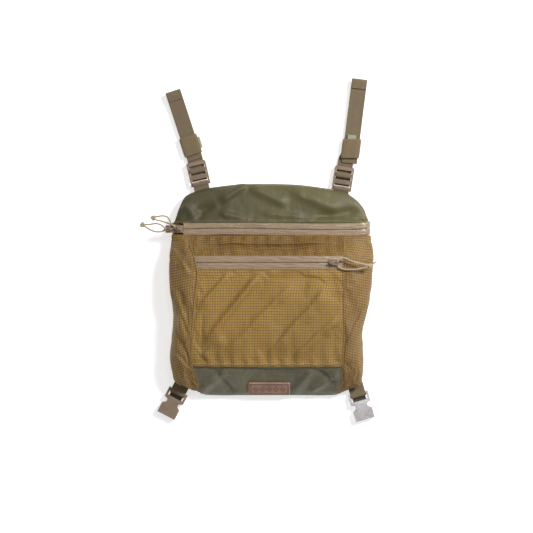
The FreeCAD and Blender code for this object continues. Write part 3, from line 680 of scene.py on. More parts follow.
# %% [markdown]
# The lid is one olive panel that domes from the zip to the crown and curls under to its free rim. Its rows
# fan out from the two corners of the zip: each row is a quarter ellipse from the hem to the outline.
# %% Lid
LID_HEM = [(-124.2, 88.2, 16.2), (-121.5, 87.9, 20.3), (-112, 87.7, 23.2), (-98, 87.7, 24.2),
           (-50, 87.7, 24.5), (0, 87.7, 24.5), (50, 87.7, 24.5), (100, 87.9, 24.2), (114, 88.3, 23.0),
           (123, 88.8, 20.2), (126.6, 89.4, 16.2)]
LID_OUTLINE = [(-124.2, 88.2, 16.2), (-123.0, 98, 16), (-118.5, 112, 15), (-111.5, 123.4, 14),
               (-96, 129.8, 13.4), (-57, 137.2, 13), (0, 139, 13), (39, 137.8, 13), (78, 131.6, 13.3),
               (101, 125, 14), (115, 116.3, 15), (122.3, 106, 15.6), (126.6, 89.4, 16.2)]
LID_RIM = [(-102.6, 88.3, 7.6), (-102.6, 99, 7.6), (-102.4, 110, 7.6), (-101.5, 121.5, 7.6), (-94, 127.3, 7.6),
           (-57, 134.2, 7.6), (0, 137.0, 7.6), (39, 134.8, 7.6), (78, 129.5, 7.6), (98, 124.6, 7.6),
           (102, 113, 7.6), (102.6, 103, 7.6), (102.6, 89.0, 7.6)]
LID_FOLDS = [((-30, 138), (-78, 106), 1.9, 4, 8), ((-26, 134), (20, 112), 1.6, 8, 6),
             ((-100, 98), (-60, 118), -1.8, 7, 7), ((-64, 101), (-30, 89), 1.9, 4, 6),
             ((30, 128), (88, 104), 1.5, 9, 7), ((60, 96), (112, 104), -1.3, 6, 6),
             ((-10, 100), (44, 94), 1.1, 5, 6), ((-112, 112), (-92, 96), 1.4, 5, 7)]


print("lid lines:", len(LID_HEM), len(LID_OUTLINE), len(LID_RIM), "points")

# %% [markdown]
# The hem is pressed flat by its stitches.
# %% Lid cloth
def lid_grid():
    """Hem to outline by sine and cosine of one angle, then outline to rim by the next quarter."""
    u = np.linspace(0, 1, 170)
    hem, outline, rim = (curve_through(line, u)[None] for line in (LID_HEM, LID_OUTLINE, LID_RIM))
    a = np.linspace(0, np.pi / 2, 46)[:, None, None]
    top = hem + (outline - hem) * np.sin(a)
    top[..., 2] = (outline + (hem - outline) * np.cos(a)**0.8)[..., 2]
    b = np.linspace(0, np.pi / 2, 12)[1:, None, None]
    under = rim + (outline - rim) * np.cos(b)
    under[..., 2] = (outline - (outline - rim) * np.sin(b))[..., 2]
    grid = np.concatenate([top, under])
    x, y = grid[..., 0], grid[..., 1]
    height = crinkle(grid, 15, 0.35, 61) + crinkle(grid, 40, 0.9, 62)
    height = with_folds(grid, height, LID_FOLDS)
    rows = np.arange(grid.shape[0])[:, None]
    free = np.clip(rows / 6, 0, 1) * np.clip((grid.shape[0] - 1 - rows) / 10, 0, 1)
    height = np.minimum(2.5 * height - 1.9, 1.6) * free * edge_fade(grid, 5)
    height = height + gathers(y - 87, x, 8, 15, 0.5, 63) * np.clip(rows / 2, 0, 1) * edge_fade(grid, 3)
    height = height + 0.45 * np.exp(-((y - 89.4) / 1.3)**2) - 0.35 * np.exp(-((y - 91.6) / 0.8)**2)
    return raised(grid, height * np.clip((grid[..., 2] - 9) / 4, 0, 1))


lid, lid_points = sewn_panel("lid_cloth", lid_grid(), "olive_coated", "lid", ["lid_panel"],
                             slack=0.016, cap=1.3)
lid.parent = None              # the lid's cloth is left with no parent
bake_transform(lid)
print("lid:", lid_points.shape[:2])

# %% [markdown]
# ## Zips
# The main zip is coated: its two tapes meet in a fine slit over the hidden coils. A tape is one short
# profile carried along an arch, which runs level over the front and down the right side to the back.
# %% Main zip
ZIP_Y = 80.0
ARCH = [(-112.2, 24.3), (-60, 24.4), (0, 24.4), (60, 24.4), (100, 24.4), (112, 24.0), (121, 22.2), (126.6, 19),
        (128.3, 16.3), (126.4, 13), (118, 9.8)]
TAPE_PROFILE = [(9.0, -1.3), (8.0, -0.5), (7.2, 0.0), (6.5, -0.12), (5.9, 0.08), (4.2, 0.2), (2.4, 0.2),
                (1.2, 0.12), (0.6, -0.1), (0.16, -0.7), (0.06, -1.5)]


def profile_rows(profile, side, count):
    """Distance from the slit and height, finely sampled; rows run towards +Y."""
    rows = curve_through(profile, np.linspace(0, 1, count))
    return rows if side < 0 else rows[::-1]


def tape_grid(arch, side, end_z, seed):
    """Each row stands off the arch by the profile's height, along the arch's normal."""
    line = curve_through([*arch, (103, end_z)], np.linspace(0, 1, 240))
    x, z = line[:, 0], line[:, 1]
    tangent = unit(np.gradient(line, axis=0))
    rows = profile_rows(TAPE_PROFILE, side, 26)
    d, h = rows[:, :1], rows[:, 1:]
    bow = np.sin((np.clip(x, -108, 128) + 108) / 236 * 2 * np.pi) + 1.6 * np.clip((x - 104) / 24, 0, 1)**2
    grid = np.stack([x - tangent[:, 1] * h, ZIP_Y + side * d + bow + 0 * h, z + tangent[:, 0] * h], -1)
    wave = crinkle(grid, 7, 0.07, seed) + 0.06 * np.sin(grid[..., 0] / 9.0 + grid[..., 1] / 3)
    return raised(grid, np.clip(wave, -0.2, 0.12) * np.clip(d / 2, 0, 1))


ZIP_HALVES = (("lower", -1, "bag", 6.0), ("upper", 1, "lid", 7.6))   # side, body and height of its end
for name, side, body, end_z in ZIP_HALVES:
    sewn_panel("main_zip_" + name, tape_grid(ARCH, side, end_z, 70 + side), "coated_tape", body,
               ["main_zip_" + name + "_tape"], slack=0, thick=0.8)
print("main zip slit, mm:", 2 * TAPE_PROFILE[-1][0])

# %% [markdown]
# At its left end the zip's arch sinks into a small bay of side cloth, where the two sliders wait.
# %% Zip bay
def bay_grid(side, end_z):
    """Left end of the zip: the arch of the gusset sinks into a bay that leaves room for the sliders."""
    full = [(-102, end_z), (-113, 7.8), (-123, 12), (-127.4, 16.6), (-124, 20.2), (-115, 23.2), (-104, 24.2)]
    low = [(-102, end_z), (-113, 7.8), (-122, 10.8), (-126.4, 13.6), (-124, 16.2), (-113.2, 17.8), (-104, 24.2)]
    t = np.linspace(0, 1, 60)
    y = np.linspace(71.9, 80.0, 22) if side < 0 else np.linspace(80.0, 88.3, 22)
    sink = np.clip((y - 72.6) / 1.8, 0, 1) * np.clip((88.0 - y) / 2.2, 0, 1)
    sink = (sink * sink * (3 - 2 * sink))[:, None, None]
    arch = curve_through(full, t)[None] * (1 - sink) + curve_through(low, t)[None] * sink
    return np.stack([arch[..., 0], np.broadcast_to(y[:, None], arch.shape[:2]), arch[..., 1]], -1)


# the bay's cloth is the darker side ripstop: painted shade
for name, side, body, end_z in ZIP_HALVES:
    sewn_panel("zip_bay_" + name, bay_grid(side, end_z), "ripstop_side", body, [], slack=0,
               thick=0.6)
print("zip bay halves:", len(ZIP_HALVES))

# %% [markdown]
# The pocket's zip is the same coated tape on a smaller scale, laid flat between the two front edges.
# %% Pocket zip
POCKET_ZIP_Y, POCKET_ZIP_TOP = 36.75, 44.35


def pocket_tape_grid(side, reach, seed):
    """Rows at the profile's distances from the slit, between the two front edges."""
    rows = profile_rows(TAPE_PROFILE[1:], side, 24)
    y = POCKET_ZIP_Y + side * rows[:, 0] * reach / TAPE_PROFILE[1][0]
    middle = np.c_[y, POCKET_ZIP_TOP + rows[:, 1]]
    left, right = at_y(LEFT_FRONT, y), at_y(RIGHT_FRONT, y)
    left[:, 2] += np.minimum(rows[:, 1], 0) + 0.3
    right[:, 2] += np.minimum(rows[:, 1], 0) + 0.3
    grid = between(left, right, middle, 150, 10)
    return raised(grid, np.clip(crinkle(grid, 6, 0.07, seed), -0.15, 0.1) * edge_fade(grid, 3))


for name, side, reach in (("lower", -1, 8.3), ("upper", 1, 8.6)):
    sewn_panel("pocket_zip_" + name, pocket_tape_grid(side, reach, 80 + side), "coated_tape", "bag",
               ["pocket_zip_" + name + "_tape"], slack=0, thick=0.7)


print("pocket zip at y, mm:", POCKET_ZIP_Y)

# %% [markdown]
# The hidden coils are real helixes, because they show when the lid is open: one fine wire wound round a
# line, seven samples to a turn.
# %% Coils
COIL_R, WIRE_R, COIL_PITCH = 0.75, 0.3, 1.5
COIL_OFF = 1.6               # from the slit to the middle of each coil


def coil_line(x0, x1, y, z):
    """Wire of a coil: x along the zip, y and z on a circle once per pitch."""
    turns = (x1 - x0) / COIL_PITCH
    t = np.linspace(0, 1, int(turns * 7))
    a = 2 * np.pi * turns * t
    return np.c_[x0 + (x1 - x0) * t, y + COIL_R * np.cos(a), z + COIL_R * np.sin(a)]


def zip_coil(name, node, body, rows, x_ends):
    """The rows of wire that stand for a coil node."""
    low, high = (np.array(corner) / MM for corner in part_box(node))
    for number, y in enumerate(rows):
        line = coil_line(max(low[0], x_ends[0]), min(high[0], x_ends[1]), y, (low[2] + high[2]) / 2)
        piece = swept(name + str(number), line, oval(2 * WIRE_R, 2 * WIRE_R, 5), "coil_wire", body,
                      across=(1, 0, 0))
        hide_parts(node)


zip_coil("main_lower_coil", "main_zip_lower_coil", "bag", [ZIP_Y - COIL_OFF], (-200, 116))
zip_coil("main_upper_coil", "main_zip_upper_coil", "lid", [ZIP_Y + COIL_OFF], (-200, 116))
zip_coil("pocket_coil", "pocket_zip_coil", "bag", [POCKET_ZIP_Y - COIL_OFF, POCKET_ZIP_Y + COIL_OFF],
         (-90, 88))
print("coil turns on the main zip:", round(230 / COIL_PITCH))

# %% [markdown]
# ## Metal and plastic
# The sliders, tabs, locks and buckles are hard parts whose shape the frame already holds. A clean copy of
# a part's mesh, with its doubled points merged and its flat faces made whole, takes a bevel that rounds
# the edges as a mould or a die does. Finer things, such as ribs, are added as pieces of their own.
# %% Hard parts
def softened(node, finish, body, width, segments=3):
    """Merged copy of a node, its flat faces joined, with rounded edges."""
    bm = bmesh.new()
    bm.from_mesh(NODES[node].data)
    bmesh.ops.remove_doubles(bm, verts=bm.verts, dist=1e-6)
    bmesh.ops.dissolve_limit(bm, angle_limit=math.radians(2), verts=bm.verts, edges=bm.edges)
    mesh = bpy.data.meshes.new(node + "_looks")
    bm.to_mesh(mesh)
    bm.free()
    mesh.materials.clear()
    mesh.shade_smooth()
    mesh.set_sharp_from_angle(angle=math.radians(50))
    piece = bpy.data.objects.new(node + "_looks", mesh)
    bpy.context.scene.collection.objects.link(piece)
    rounding = piece.modifiers.new("rounding", "BEVEL")
    rounding.width = width * MM
    rounding.segments = segments
    rounding.limit_method = "ANGLE"
    rounding.angle_limit = math.radians(40)
    rounding.harden_normals = True
    finish_as(piece, finish, body)
    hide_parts(node)
    return piece


for name in ("inner", "outer", "pocket"):
    softened(name + "_slider", "slider_metal", name + "_slider", 0.4)
    softened(name + "_pull_tab", "slider_metal", name + "_pull", 0.3)
softened("main_zip_end", "coated_tape", "bag", 0.3, 2)
for name in ("left", "right"):
    softened(name + "_ladder_lock", "moulded_tan", name + "_lock", 0.9, 4)
    # the right buckle is the same tan plastic; its pale finish is painted glare
    softened(name + "_buckle", "moulded_tan" if name == "left" else "moulded_pale", name + "_buckle",
             0.8, 4)

# %% [markdown]
# Each lock has a ribbed bar for the thumb and, over the webbing's loop, a split bar with a gap that the
# loop can be slipped through. Both are rows of small rounded bars.
# %% Lock ribs and split bars
LOCKS = {"left": (-97.0, 167.3, 103.2), "right": (95.8, 161.0, 80.9)}
LOCK_LEVEL, LOCK_THICK = 3.6, 4.0
RIB_PLACES = (-18.7, -20.2, -21.7)
SPLIT_PLACE, SPLIT_LEVEL = -27.3, 7.9


def turned(origin, heading, local):
    """Local (along, across, height) points turned to a heading and moved to an origin."""
    c, s = math.cos(math.radians(heading)), math.sin(math.radians(heading))
    p = np.asarray(local, float)
    x, y = p[..., 0] * c - p[..., 1] * s, p[..., 0] * s + p[..., 1] * c
    return np.stack([origin[0] + x, origin[1] + y, p[..., 2]], -1)


def small_bar(name, origin, heading, along, across, height, wide, thick, finish, body):
    """Rounded bar that lies across a heading, from one value of across to another."""
    ends = np.linspace(across[0], across[1], 9)
    bulge = np.sqrt(np.clip(1 - (np.linspace(-1, 1, 9))**6, 0, 1))
    path = turned(origin, heading, np.c_[np.full(9, along), ends, np.full(9, height)])
    rings = carried(path, oval(wide, thick, 14, 2.6))
    middle = path[:, None]
    rings = capped(middle + (rings - middle) * np.maximum(bulge, 0.3)[:, None, None])
    loop = np.concatenate([rings, rings[:, :1]], axis=1)
    return make_piece(name, loop, grid_faces(*loop.shape[:2]), finish, body, cloth_uv(loop, True), True)


for name, (x, y, heading) in LOCKS.items():
    for number, place in enumerate(RIB_PLACES):
        small_bar(f"{name}_lock_rib{number}", (x, y), heading, place, (-9.6, 9.6), LOCK_LEVEL + LOCK_THICK,
                  0.9, 1.2, "moulded_tan", name + "_lock")
    for number, ends in enumerate(((-10.9, -1.5), (1.5, 10.9))):
        small_bar(f"{name}_lock_split{number}", (x, y), heading, SPLIT_PLACE, ends, SPLIT_LEVEL, 2.3, 2.2,
                  "moulded_tan", name + "_lock")
print("ribs:", 2 * len(RIB_PLACES))

# %% [markdown]
# ## Webbing
# Straps are modelled directly: a flat rounded section carried along a path. Where webbing goes round a bar
# or folds back on itself the path does too, and the direction across it stays the same all the way.
# %% Webbing tools
WEB = oval(20.0, 1.4, 32, 7)
STRAPS = {"left": ((-103.4, 188.0), (-126.2, 257.9)), "right": ((103.6, 184.0), (114.8, 273.5))}
BAR_BACK, BAR_Z = 29.4, 5.6  # the bar that holds the anchor loop: behind the lock's front edge, and its height
BARS = {name: turned((x, y), heading, (-BAR_BACK, 0, BAR_Z)) for name, (x, y, heading) in LOCKS.items()}
BUCKLES = {"left": (-119.9, -130.8, 242.5), "right": (112.9, -133.6, 286.5)}
BUCKLE_BAR_Z = 4.6
LOOP_R = 2.7                 # from a bar's centre to the middle of the webbing round it


def web_run(name, origin, heading, run, finish, body, samples=90, section=WEB):
    """Webbing along listed points of (along, height) at a heading."""
    line = curve_through(run, np.linspace(0, 1, samples))
    path = turned(origin, heading, np.c_[line[:, 0], np.zeros(samples), line[:, 1]])
    turn = math.radians(heading)
    return swept(name, path, section, finish, body, across=(math.sin(turn), -math.cos(turn), 0))


def loop_run(run, bar_z):
    """Two layers that come together behind a bar, with a round loop about it."""
    a = np.radians(np.linspace(-135, 135, 13))
    ring = np.c_[LOOP_R * np.cos(a), bar_z + LOOP_R * np.sin(a)]
    low = [(-run, bar_z - 0.75), (-run / 2, bar_z - 0.75), (-5.5, bar_z - 0.9)]
    high = [(-5.5, bar_z + 0.9), (-run / 2, bar_z + 0.75), (-run, bar_z + 0.75)]
    return low + ring.tolist() + high


print("bars of the anchor loops, mm:", {name: bar.round(1).tolist() for name, bar in BARS.items()})

# %% [markdown]
# Each side has four runs: the free strap with its folded end, the webbing threaded through the lock, the
# anchor loop on the lock's bar and the tab that holds the buckle.
# %% Webbing runs
strap_lines = {}
for name, (keeper, end) in STRAPS.items():
    run = np.array(end) - keeper
    length, heading = np.linalg.norm(run), math.degrees(math.atan2(run[1], run[0]))
    strap_lines[name] = (keeper, heading, length)
    top = [(-19, 4.3), (-8, 4.3), (8, 4.3), (0.4 * length, 4.5), (0.7 * length, 5.0), (length - 13, 5.7),
           (length - 3, 6.1), (length - 0.6, 6.3), (length, 7.0), (length - 0.6, 7.75), (length - 3, 7.85),
           (length - 12.5, 7.3)]
    strap = web_run(name + "_strap_web", keeper, heading, top, "webbing", name + "_strap", 130)
    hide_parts(name + "_strap")
    x, y, lock_heading = LOCKS[name]
    wrap = [(1, 2.6), (-4, 2.6), (-7, 3.0), (-8.3, 4.6), (-8.5, 6.6), (-9.3, 8.1), (-11.5, 8.7), (-13.7, 8.1),
            (-14.5, 6.4), (-14.6, 4.6), (-15.4, 3.0), (-17.5, 2.3), (-21, 2.2), (-25, 2.1)]
    threaded = web_run(name + "_threaded_wrap", (x, y), lock_heading, wrap, "webbing", name + "_lock")
    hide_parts(name + "_threaded_webbing")
    along = run / length
    lead = np.array((math.cos(math.radians(lock_heading)), math.sin(math.radians(lock_heading))))
    plan = [(*(keeper + s * along), 2.6) for s in (-4, 12, 30, 52)]
    plan = [(x, y, 2.6), (*((x, y) + 7 * lead), 2.6), *plan]
    swept(name + "_threaded_run", curve_through(plan, np.linspace(0, 1, 60)), WEB, "webbing",
          name + "_lock")
    bar = BARS[name]
    anchor = web_run(name + "_anchor_web", bar[:2], lock_heading, loop_run(17, bar[2]), "webbing", "bag")
    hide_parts(name + "_anchor_webbing")
    bx, by, buckle_heading = BUCKLES[name]
    tab = web_run(name + "_buckle_web", (bx, by), buckle_heading, loop_run(33, BUCKLE_BAR_Z), "webbing",
                  "bag")
    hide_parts(name + "_buckle_tab")
print("strap lengths past the keepers, mm:", {k: round(v[2], 1) for k, v in strap_lines.items()})

# %% [markdown]
# A keeper is a soft sleeve round both layers of strap. It is one closed band: its outer skin runs up, turns
# over the edge and comes back down as the inner skin. The outer skin swells a little in the middle.
# %% Keepers
KEEPER_LENGTH, KEEPER_Z = 25.0, 4.5
STRIPS = {"left": (-11.9, -7.0, 8.0, 5.2),      # off the strap's middle, both ends along it, width
          "right": (0.8, 6.0, 17.6, 11.0)}


def keeper_sleeve(name, origin, heading, lean):
    """Rows along the strap, out and back; the outer section swells by a cosine and leans by its height."""
    s = np.linspace(-KEEPER_LENGTH / 2, KEEPER_LENGTH / 2, 22)
    outer, inner = oval(24.0, 7.8, 56, 5), oval(21.0, 5.2, 56, 8)
    rows = []
    for place in s:
        swell = 1 + 0.07 * math.cos(math.pi * place / KEEPER_LENGTH)
        round_off = 1 - 0.05 * (abs(place) / (KEEPER_LENGTH / 2))**8
        rows.append((place, outer * (round_off, swell * round_off)))
    rows += [(place, inner) for place in s[::-1]]
    rows.append(rows[0])
    grid = np.array([np.c_[np.full(56, place) + lean * ring[:, 0], ring[:, 0], KEEPER_Z + ring[:, 1]]
                     for place, ring in rows])
    grid = np.concatenate([grid, grid[:, :1]], axis=1)
    points = turned(origin, heading, grid)
    piece = make_piece(name + "_keeper_sleeve", points, grid_faces(*grid.shape[:2]), "keeper_web",
                       name + "_keeper", cloth_uv(grid, True), True)
    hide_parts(name + "_keeper")


for name, (origin, heading, _) in strap_lines.items():
    lean = {"left": -0.02, "right": -0.12}[name]
    keeper_sleeve(name, origin, heading, lean)
    low, high = (np.array(corner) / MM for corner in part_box(name + "_keeper_strip"))
    level = (low[2] + high[2]) / 2
    away, start, end, wide = STRIPS[name]
    place = turned(origin, heading, (0, away, level))
    run = [(start, level), ((start + end) / 2, level + 0.1), (end, level + 0.5)]
    strip = web_run(name + "_sage_strip", place[:2], heading, run, "sage_tab", name + "_keeper",
                    24, oval(wide, 1.1, 22, 5))
    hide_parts(name + "_keeper_strip")
print("keepers, mm:", KEEPER_LENGTH)

# %% [markdown]
# Two places would show the floor through the pack. At the slider end of the zip a flange of tape lies below
# the sliders, and a thin moulded guard closes the slot of each buckle from below; its dark colour is painted
# shade.
# %% Small backings
flange = [(-115.8, 81.5, 17.6), (-119, 81.5, 17.4), (-122.5, 81.5, 16.9), (-125.4, 81.4, 16.0)]
swept("zip_end_tape", flange, oval(12.6, 1.2, 22, 5), "coated_tape", "bag")
for name, (bx, by, turn) in BUCKLES.items():
    guard = turned((bx, by), turn, [(-0.5, 0, 1.2), (2.5, 0, 1.1), (5.5, 0, 1.1), (8.5, 0, 1.2)])
    swept(name + "_buckle_guard", guard, oval(17.0, 1.2, 22, 5), "moulded_dark", name + "_buckle")
print("backings: 3")

# %% [markdown]
# ## Leather patch
# A small leather patch lies on the slope of the bottom. Its grid follows the slope; its height rises from
# the border in a quick round, and grooves are pressed into it: a border line and a row of plain diamonds.
# The design is a stand-in of its own and marks no maker.
# %% Patch
PATCH_X, PATCH_WIDE, PATCH_HIGH, PATCH_THICK = -2.0, 54.0, 21.5, 1.6
PATCH_START_Y = -132.4
PATCH_CORNER = 2.5
DIAMONDS, DIAMOND_PITCH, DIAMOND_WIDE, DIAMOND_HIGH = 5, 8.6, 3.5, 4.6


def patch_height(p, q):
    """Distance to a rounded border gives the edge's round; grooves are bells along lines."""
    dx = np.maximum(np.abs(p) - (PATCH_WIDE / 2 - PATCH_CORNER), 0)
    dq = np.maximum(np.abs(q) - (PATCH_HIGH / 2 - PATCH_CORNER), 0)
    inside = np.minimum(PATCH_WIDE / 2 - np.abs(p), PATCH_HIGH / 2 - np.abs(q))
    border = np.clip(np.where((dx > 0) & (dq > 0), PATCH_CORNER - np.hypot(dx, dq), inside), 0, None)
    height = PATCH_THICK * np.sqrt(np.clip(border / 0.9, 0, 1))
    height -= 0.35 * np.exp(-((border - 3.4) / 0.35)**2)
    nearest = np.clip(np.round(p / DIAMOND_PITCH), -(DIAMONDS // 2), DIAMONDS // 2) * DIAMOND_PITCH
    ring = np.abs(p - nearest) / DIAMOND_WIDE + np.abs(q) / DIAMOND_HIGH - 1
    height -= 0.4 * np.exp(-(ring * DIAMOND_WIDE / 0.45)**2)
    height -= 0.3 * np.exp(-((ring + 0.55) * DIAMOND_WIDE / 0.4)**2)
    return height


print("patch, mm:", PATCH_WIDE, "x", PATCH_HIGH)

# %% [markdown]
# The patch is a closed skin: the front carries the height and a flat back layer closes it.
# %% Patch skin
def patch_grid():
    """The slope's line plus its normal times the height; a back layer closes the piece."""
    slope = curve_through(BOTTOM_LINE, np.linspace(0, 1, 900))
    slope = slope[np.argmax((slope[:, 0] > PATCH_START_Y) & (slope[:, 1] > 9)):]
    s = np.r_[0, np.cumsum(np.linalg.norm(np.diff(slope, axis=0), axis=1))]
    q = np.linspace(-PATCH_HIGH / 2, PATCH_HIGH / 2, 88)
    line = np.stack([np.interp(q + PATCH_HIGH / 2, s, slope[:, k]) for k in (0, 1)], -1)
    tangent = unit(np.gradient(line, axis=0))
    p = np.linspace(-PATCH_WIDE / 2, PATCH_WIDE / 2, 220)
    height = patch_height(p[None], q[:, None]) + 0.4
    height = np.stack([height, np.full_like(height, 0.1)])
    height[:, :, (0, -1)] = height[:, (0, -1), :] = 0.25
    x = np.broadcast_to(PATCH_X + p, height.shape)
    y = line[:, 0][:, None] - tangent[:, 1][:, None] * height
    z = line[:, 1][:, None] + tangent[:, 0][:, None] * height
    front, back = np.stack([x, y, z], -1)
    return np.concatenate([front, back[::-1], front[:1]]), front


patch_skin, patch_front = patch_grid()
patch = make_piece("patch_leather", patch_skin, grid_faces(*patch_skin.shape[:2]), "leather", "bag",
                   cloth_uv(patch_skin), True)
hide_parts("leather_patch")
print("patch points:", patch_skin.shape[:2])

# %% [markdown]
# ## Back
# The back is not seen from the front, so its look is a fair guess: a padded cover of spacer mesh, sewn down
# along channels. It is rings of the back's outline, drawn in towards the middle, with channels pressed in.
# %% Back cover
BACK_HALF_OUTLINE = [(0, -132.4), (40, -132.4), (70, -132.4), (83, -131.4), (93.5, -124), (100.3, -111),
                     (101, -90), (101, -30), (101, 30), (101, 76), (101, 108), (100.2, 119), (95, 125.6),
                     (84, 128.6), (57, 133.4), (0, 137.0)]
CHANNELS_X = (-34.0, 34.0)
CHANNELS_Y = (-84.0, -34.0, 16.0, 66.0)


def back_outline(count):
    """The right half by its listed points and the left half as its mirror."""
    half = curve_through(BACK_HALF_OUTLINE, np.linspace(0, 1, count))
    return np.concatenate([half, (half * (-1, 1))[::-1][1:-1]])


def quilt(x, y):
    """Depth of the sewn channels: a bell across each, taken at its deepest."""
    lines = [np.abs(x - c) for c in CHANNELS_X] + [np.abs(y - c) for c in CHANNELS_Y]
    return 1.05 * np.exp(-(np.min(lines, axis=0) / 2.4)**2)


def back_grid():
    """Rings by (share of the outline, height): down the side, round the edge, then in to the middle."""
    outline = back_outline(150)
    side = [(0.992, 6.0), (0.998, 5.2), (1.0, 3.6), (0.997, 2.0), (0.99, 1.0), (0.978, 0.45)]
    rings = [np.c_[outline * share, np.full(len(outline), z)] for share, z in side]
    for share in np.linspace(0.965, 0, 70):
        flat = outline * share
        edge = np.clip((1 - share) / 0.06, 0, 1)
        rings.append(np.c_[flat, 0.35 + quilt(flat[:, 0], flat[:, 1]) * edge])
    rings = np.array(rings)
    return np.concatenate([rings, rings[:, :1]], axis=1)


back_rings = back_grid()
back = make_piece("back_cover", back_rings, grid_faces(*back_rings.shape[:2]), ["back_mesh", "lining"], "bag",
                  back_rings[..., :2] * MM)
close_up(back.data)
cover_wall = back.modifiers.new("wall", "SOLIDIFY")
cover_wall.thickness = 0.8 * MM
cover_wall.offset = -1
cover_wall.material_offset = 1
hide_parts("back_panel")
print("back cover rings:", back_rings.shape[:2])

# %% [markdown]
# ## Seams and stitches
# Where two panels meet, their turned edges make a thin roll. A round binding runs round the back seam.
# %% Seam rolls
def seam_roll(name, line, wide, high, finish, body):
    """Oval roll along a seam line."""
    return swept(name, line, oval(wide, high, 12), finish, body)


t_seam = np.linspace(0, 1, 160)
# the front seam rolls use the darker side ripstop: painted shade
for name, edge in (("left", LEFT_FRONT), ("right", RIGHT_FRONT)):
    line = curve_through(edge, t_seam) + (0, 0, 0.15)
    seam_roll(name + "_front_seam", line, 2.0, 1.5, "ripstop_side", "bag")
back_line = back_outline(200)
back_line = np.c_[back_line, np.full(len(back_line), 5.6)]
back_line = np.concatenate([back_line * (1.004, 1.002, 1), back_line[:1] * (1.004, 1.002, 1)])
seam_roll("back_binding", back_line, 2.6, 2.0, "binding", "bag")
bottom_seam = np.c_[np.linspace(-98.6, 90.6, 120), np.full(120, -95.9), np.full(120, 42.0)]
bottom_seam[:, 2] -= 1.9 * (np.abs(bottom_seam[:, 0] + 4) / 94)**8
seam_roll("bottom_seam", bottom_seam, 1.6, 1.2, "olive_coated", "bag")
print("seam rolls: 4")

# %% [markdown]
# A stitch is a short capsule of thread. All the stitches of a body are one mesh, made by placing one small
# template at even steps along each sewn line, turned to the line and to the cloth's normal there.
# %% Stitches
STITCH_PITCH, STITCH_LENGTH, STITCH_R = 3.7, 2.7, 0.33
TACK = (2.2, 1.7, 0.24)      # pitch, length and radius of the short stitches across a strap


def thread_run(points, normal, pitch=STITCH_PITCH, length=STITCH_LENGTH, radius=STITCH_R):
    """Capsules: centre + tangent * x + (side cos a + normal sin a) * r, at even steps along a line."""
    s = np.r_[0, np.cumsum(np.linalg.norm(np.diff(points, axis=0), axis=1))]
    at = np.arange(pitch / 2, s[-1] - pitch / 2, pitch)

    def read(values, where):
        """Values at some lengths along the line."""
        return np.stack([np.interp(where, s, values[:, k]) for k in range(3)], -1)

    centre = read(points, at)
    tangent = unit(read(points, at + 0.4) - read(points, at - 0.4))
    up = unit(read(normal, at))
    side = unit(np.cross(up, tangent))
    x = np.array([-0.5, -0.38, 0, 0.38, 0.5]) * length
    r = np.array([0.0, 0.8, 1.0, 0.8, 0.0]) * radius
    a = np.linspace(0, 2 * np.pi, 6, endpoint=False)
    ring = side[:, None] * np.cos(a)[None, :, None] + up[:, None] * np.sin(a)[None, :, None]
    lift = centre + up * radius * 0.35
    along = tangent[:, None, None] * x[None, :, None, None]
    return lift[:, None, None] + along + ring[:, None] * r[None, :, None, None]


def stitches(name, runs, finish, body):
    """One mesh of all the capsules of several sewn lines."""
    capsules = np.concatenate(runs)
    one = grid_faces(5, 6, wrap=True)
    faces = (one[None] + 30 * np.arange(len(capsules))[:, None, None]).reshape(-1, 4)
    piece = make_piece(name, capsules, faces, finish, body, closed=True)
    print(name, len(capsules), "stitches")
    return piece


def row_line(points, y, trim=3):
    """The row of a panel at a Y of its middle column, between two rows, with its normals."""
    middle = points[:, points.shape[1] // 2, 1]
    index = np.interp(y, middle[:len(middle) * 3 // 4], np.arange(len(middle) * 3 // 4))
    low, share = int(index), index % 1
    facing = normals(points)
    line, up = ((1 - share) * v[low] + share * v[low + 1] for v in (points, facing))
    return line[trim:-trim], up[trim:-trim]


def cross_line(origin, heading, along, half, z):
    """Straight sewn line across a strap."""
    local = np.c_[np.full(9, along), np.linspace(-half, half, 9), np.full(9, z)]
    return turned(origin, heading, local), np.tile((0.0, 0.0, 1.0), (9, 1))


print("stitch tools ready")

# %% [markdown]
# The rows of thread: on the band and the pocket, along the bottom and the lid's hem, round the patch,
# across the strap ends and tabs, and down the channels of the back.
# %% Rows of stitches
bag_lines = [row_line(band_points, 68.4), row_line(band_points, 51.2), row_line(pocket_points, 25.6),
             row_line(pocket_points, HEM_Y)]
stitches("front_stitches", [thread_run(*line) for line in bag_lines], "thread_tan", "bag")
stitches("bottom_stitches", [thread_run(*row_line(bottom_points, -98.6))], "thread_olive", "bag")
stitches("lid_stitches", [thread_run(*row_line(lid_points, 91.7, 8))], "thread_olive", "lid")
rim = patch_front[7:-7, 9:-9]
rim_lines = [rim[0], rim[-1][::-1], rim[:, 0][::-1], rim[:, -1]]
facing = normals(patch_front)[7:-7, 9:-9]
rim_up = [facing[0], facing[-1][::-1], facing[:, 0][::-1], facing[:, -1]]
stitches("patch_stitches", [thread_run(line, up, 2.6, 1.9, 0.26) for line, up in zip(rim_lines, rim_up)],
         "thread_dark", "bag")
for name, (origin, heading, length) in strap_lines.items():
    runs = [thread_run(*cross_line(origin, heading, length - back, 9.3, level + 0.02), *TACK)
            for back, level in ((2.6, 8.55), (4.2, 8.5), (10.4, 8.15), (11.6, 8.05))]
    stitches(name + "_strap_stitches", runs, "thread_tan", name + "_strap")
    bx, by, turn = BUCKLES[name]
    runs = [thread_run(*cross_line((bx, by), turn, -at, 9.0, BUCKLE_BAR_Z + level), *TACK)
            for at, level in ((8.0, 1.58), (9.6, 1.55), (16.5, 1.5))]
    bar = BARS[name]
    runs += [thread_run(*cross_line(bar[:2], LOCKS[name][2], -5.6, 9.0, bar[2] + 1.62), *TACK)]
    stitches(name + "_tab_stitches", runs, "thread_tan", "bag")
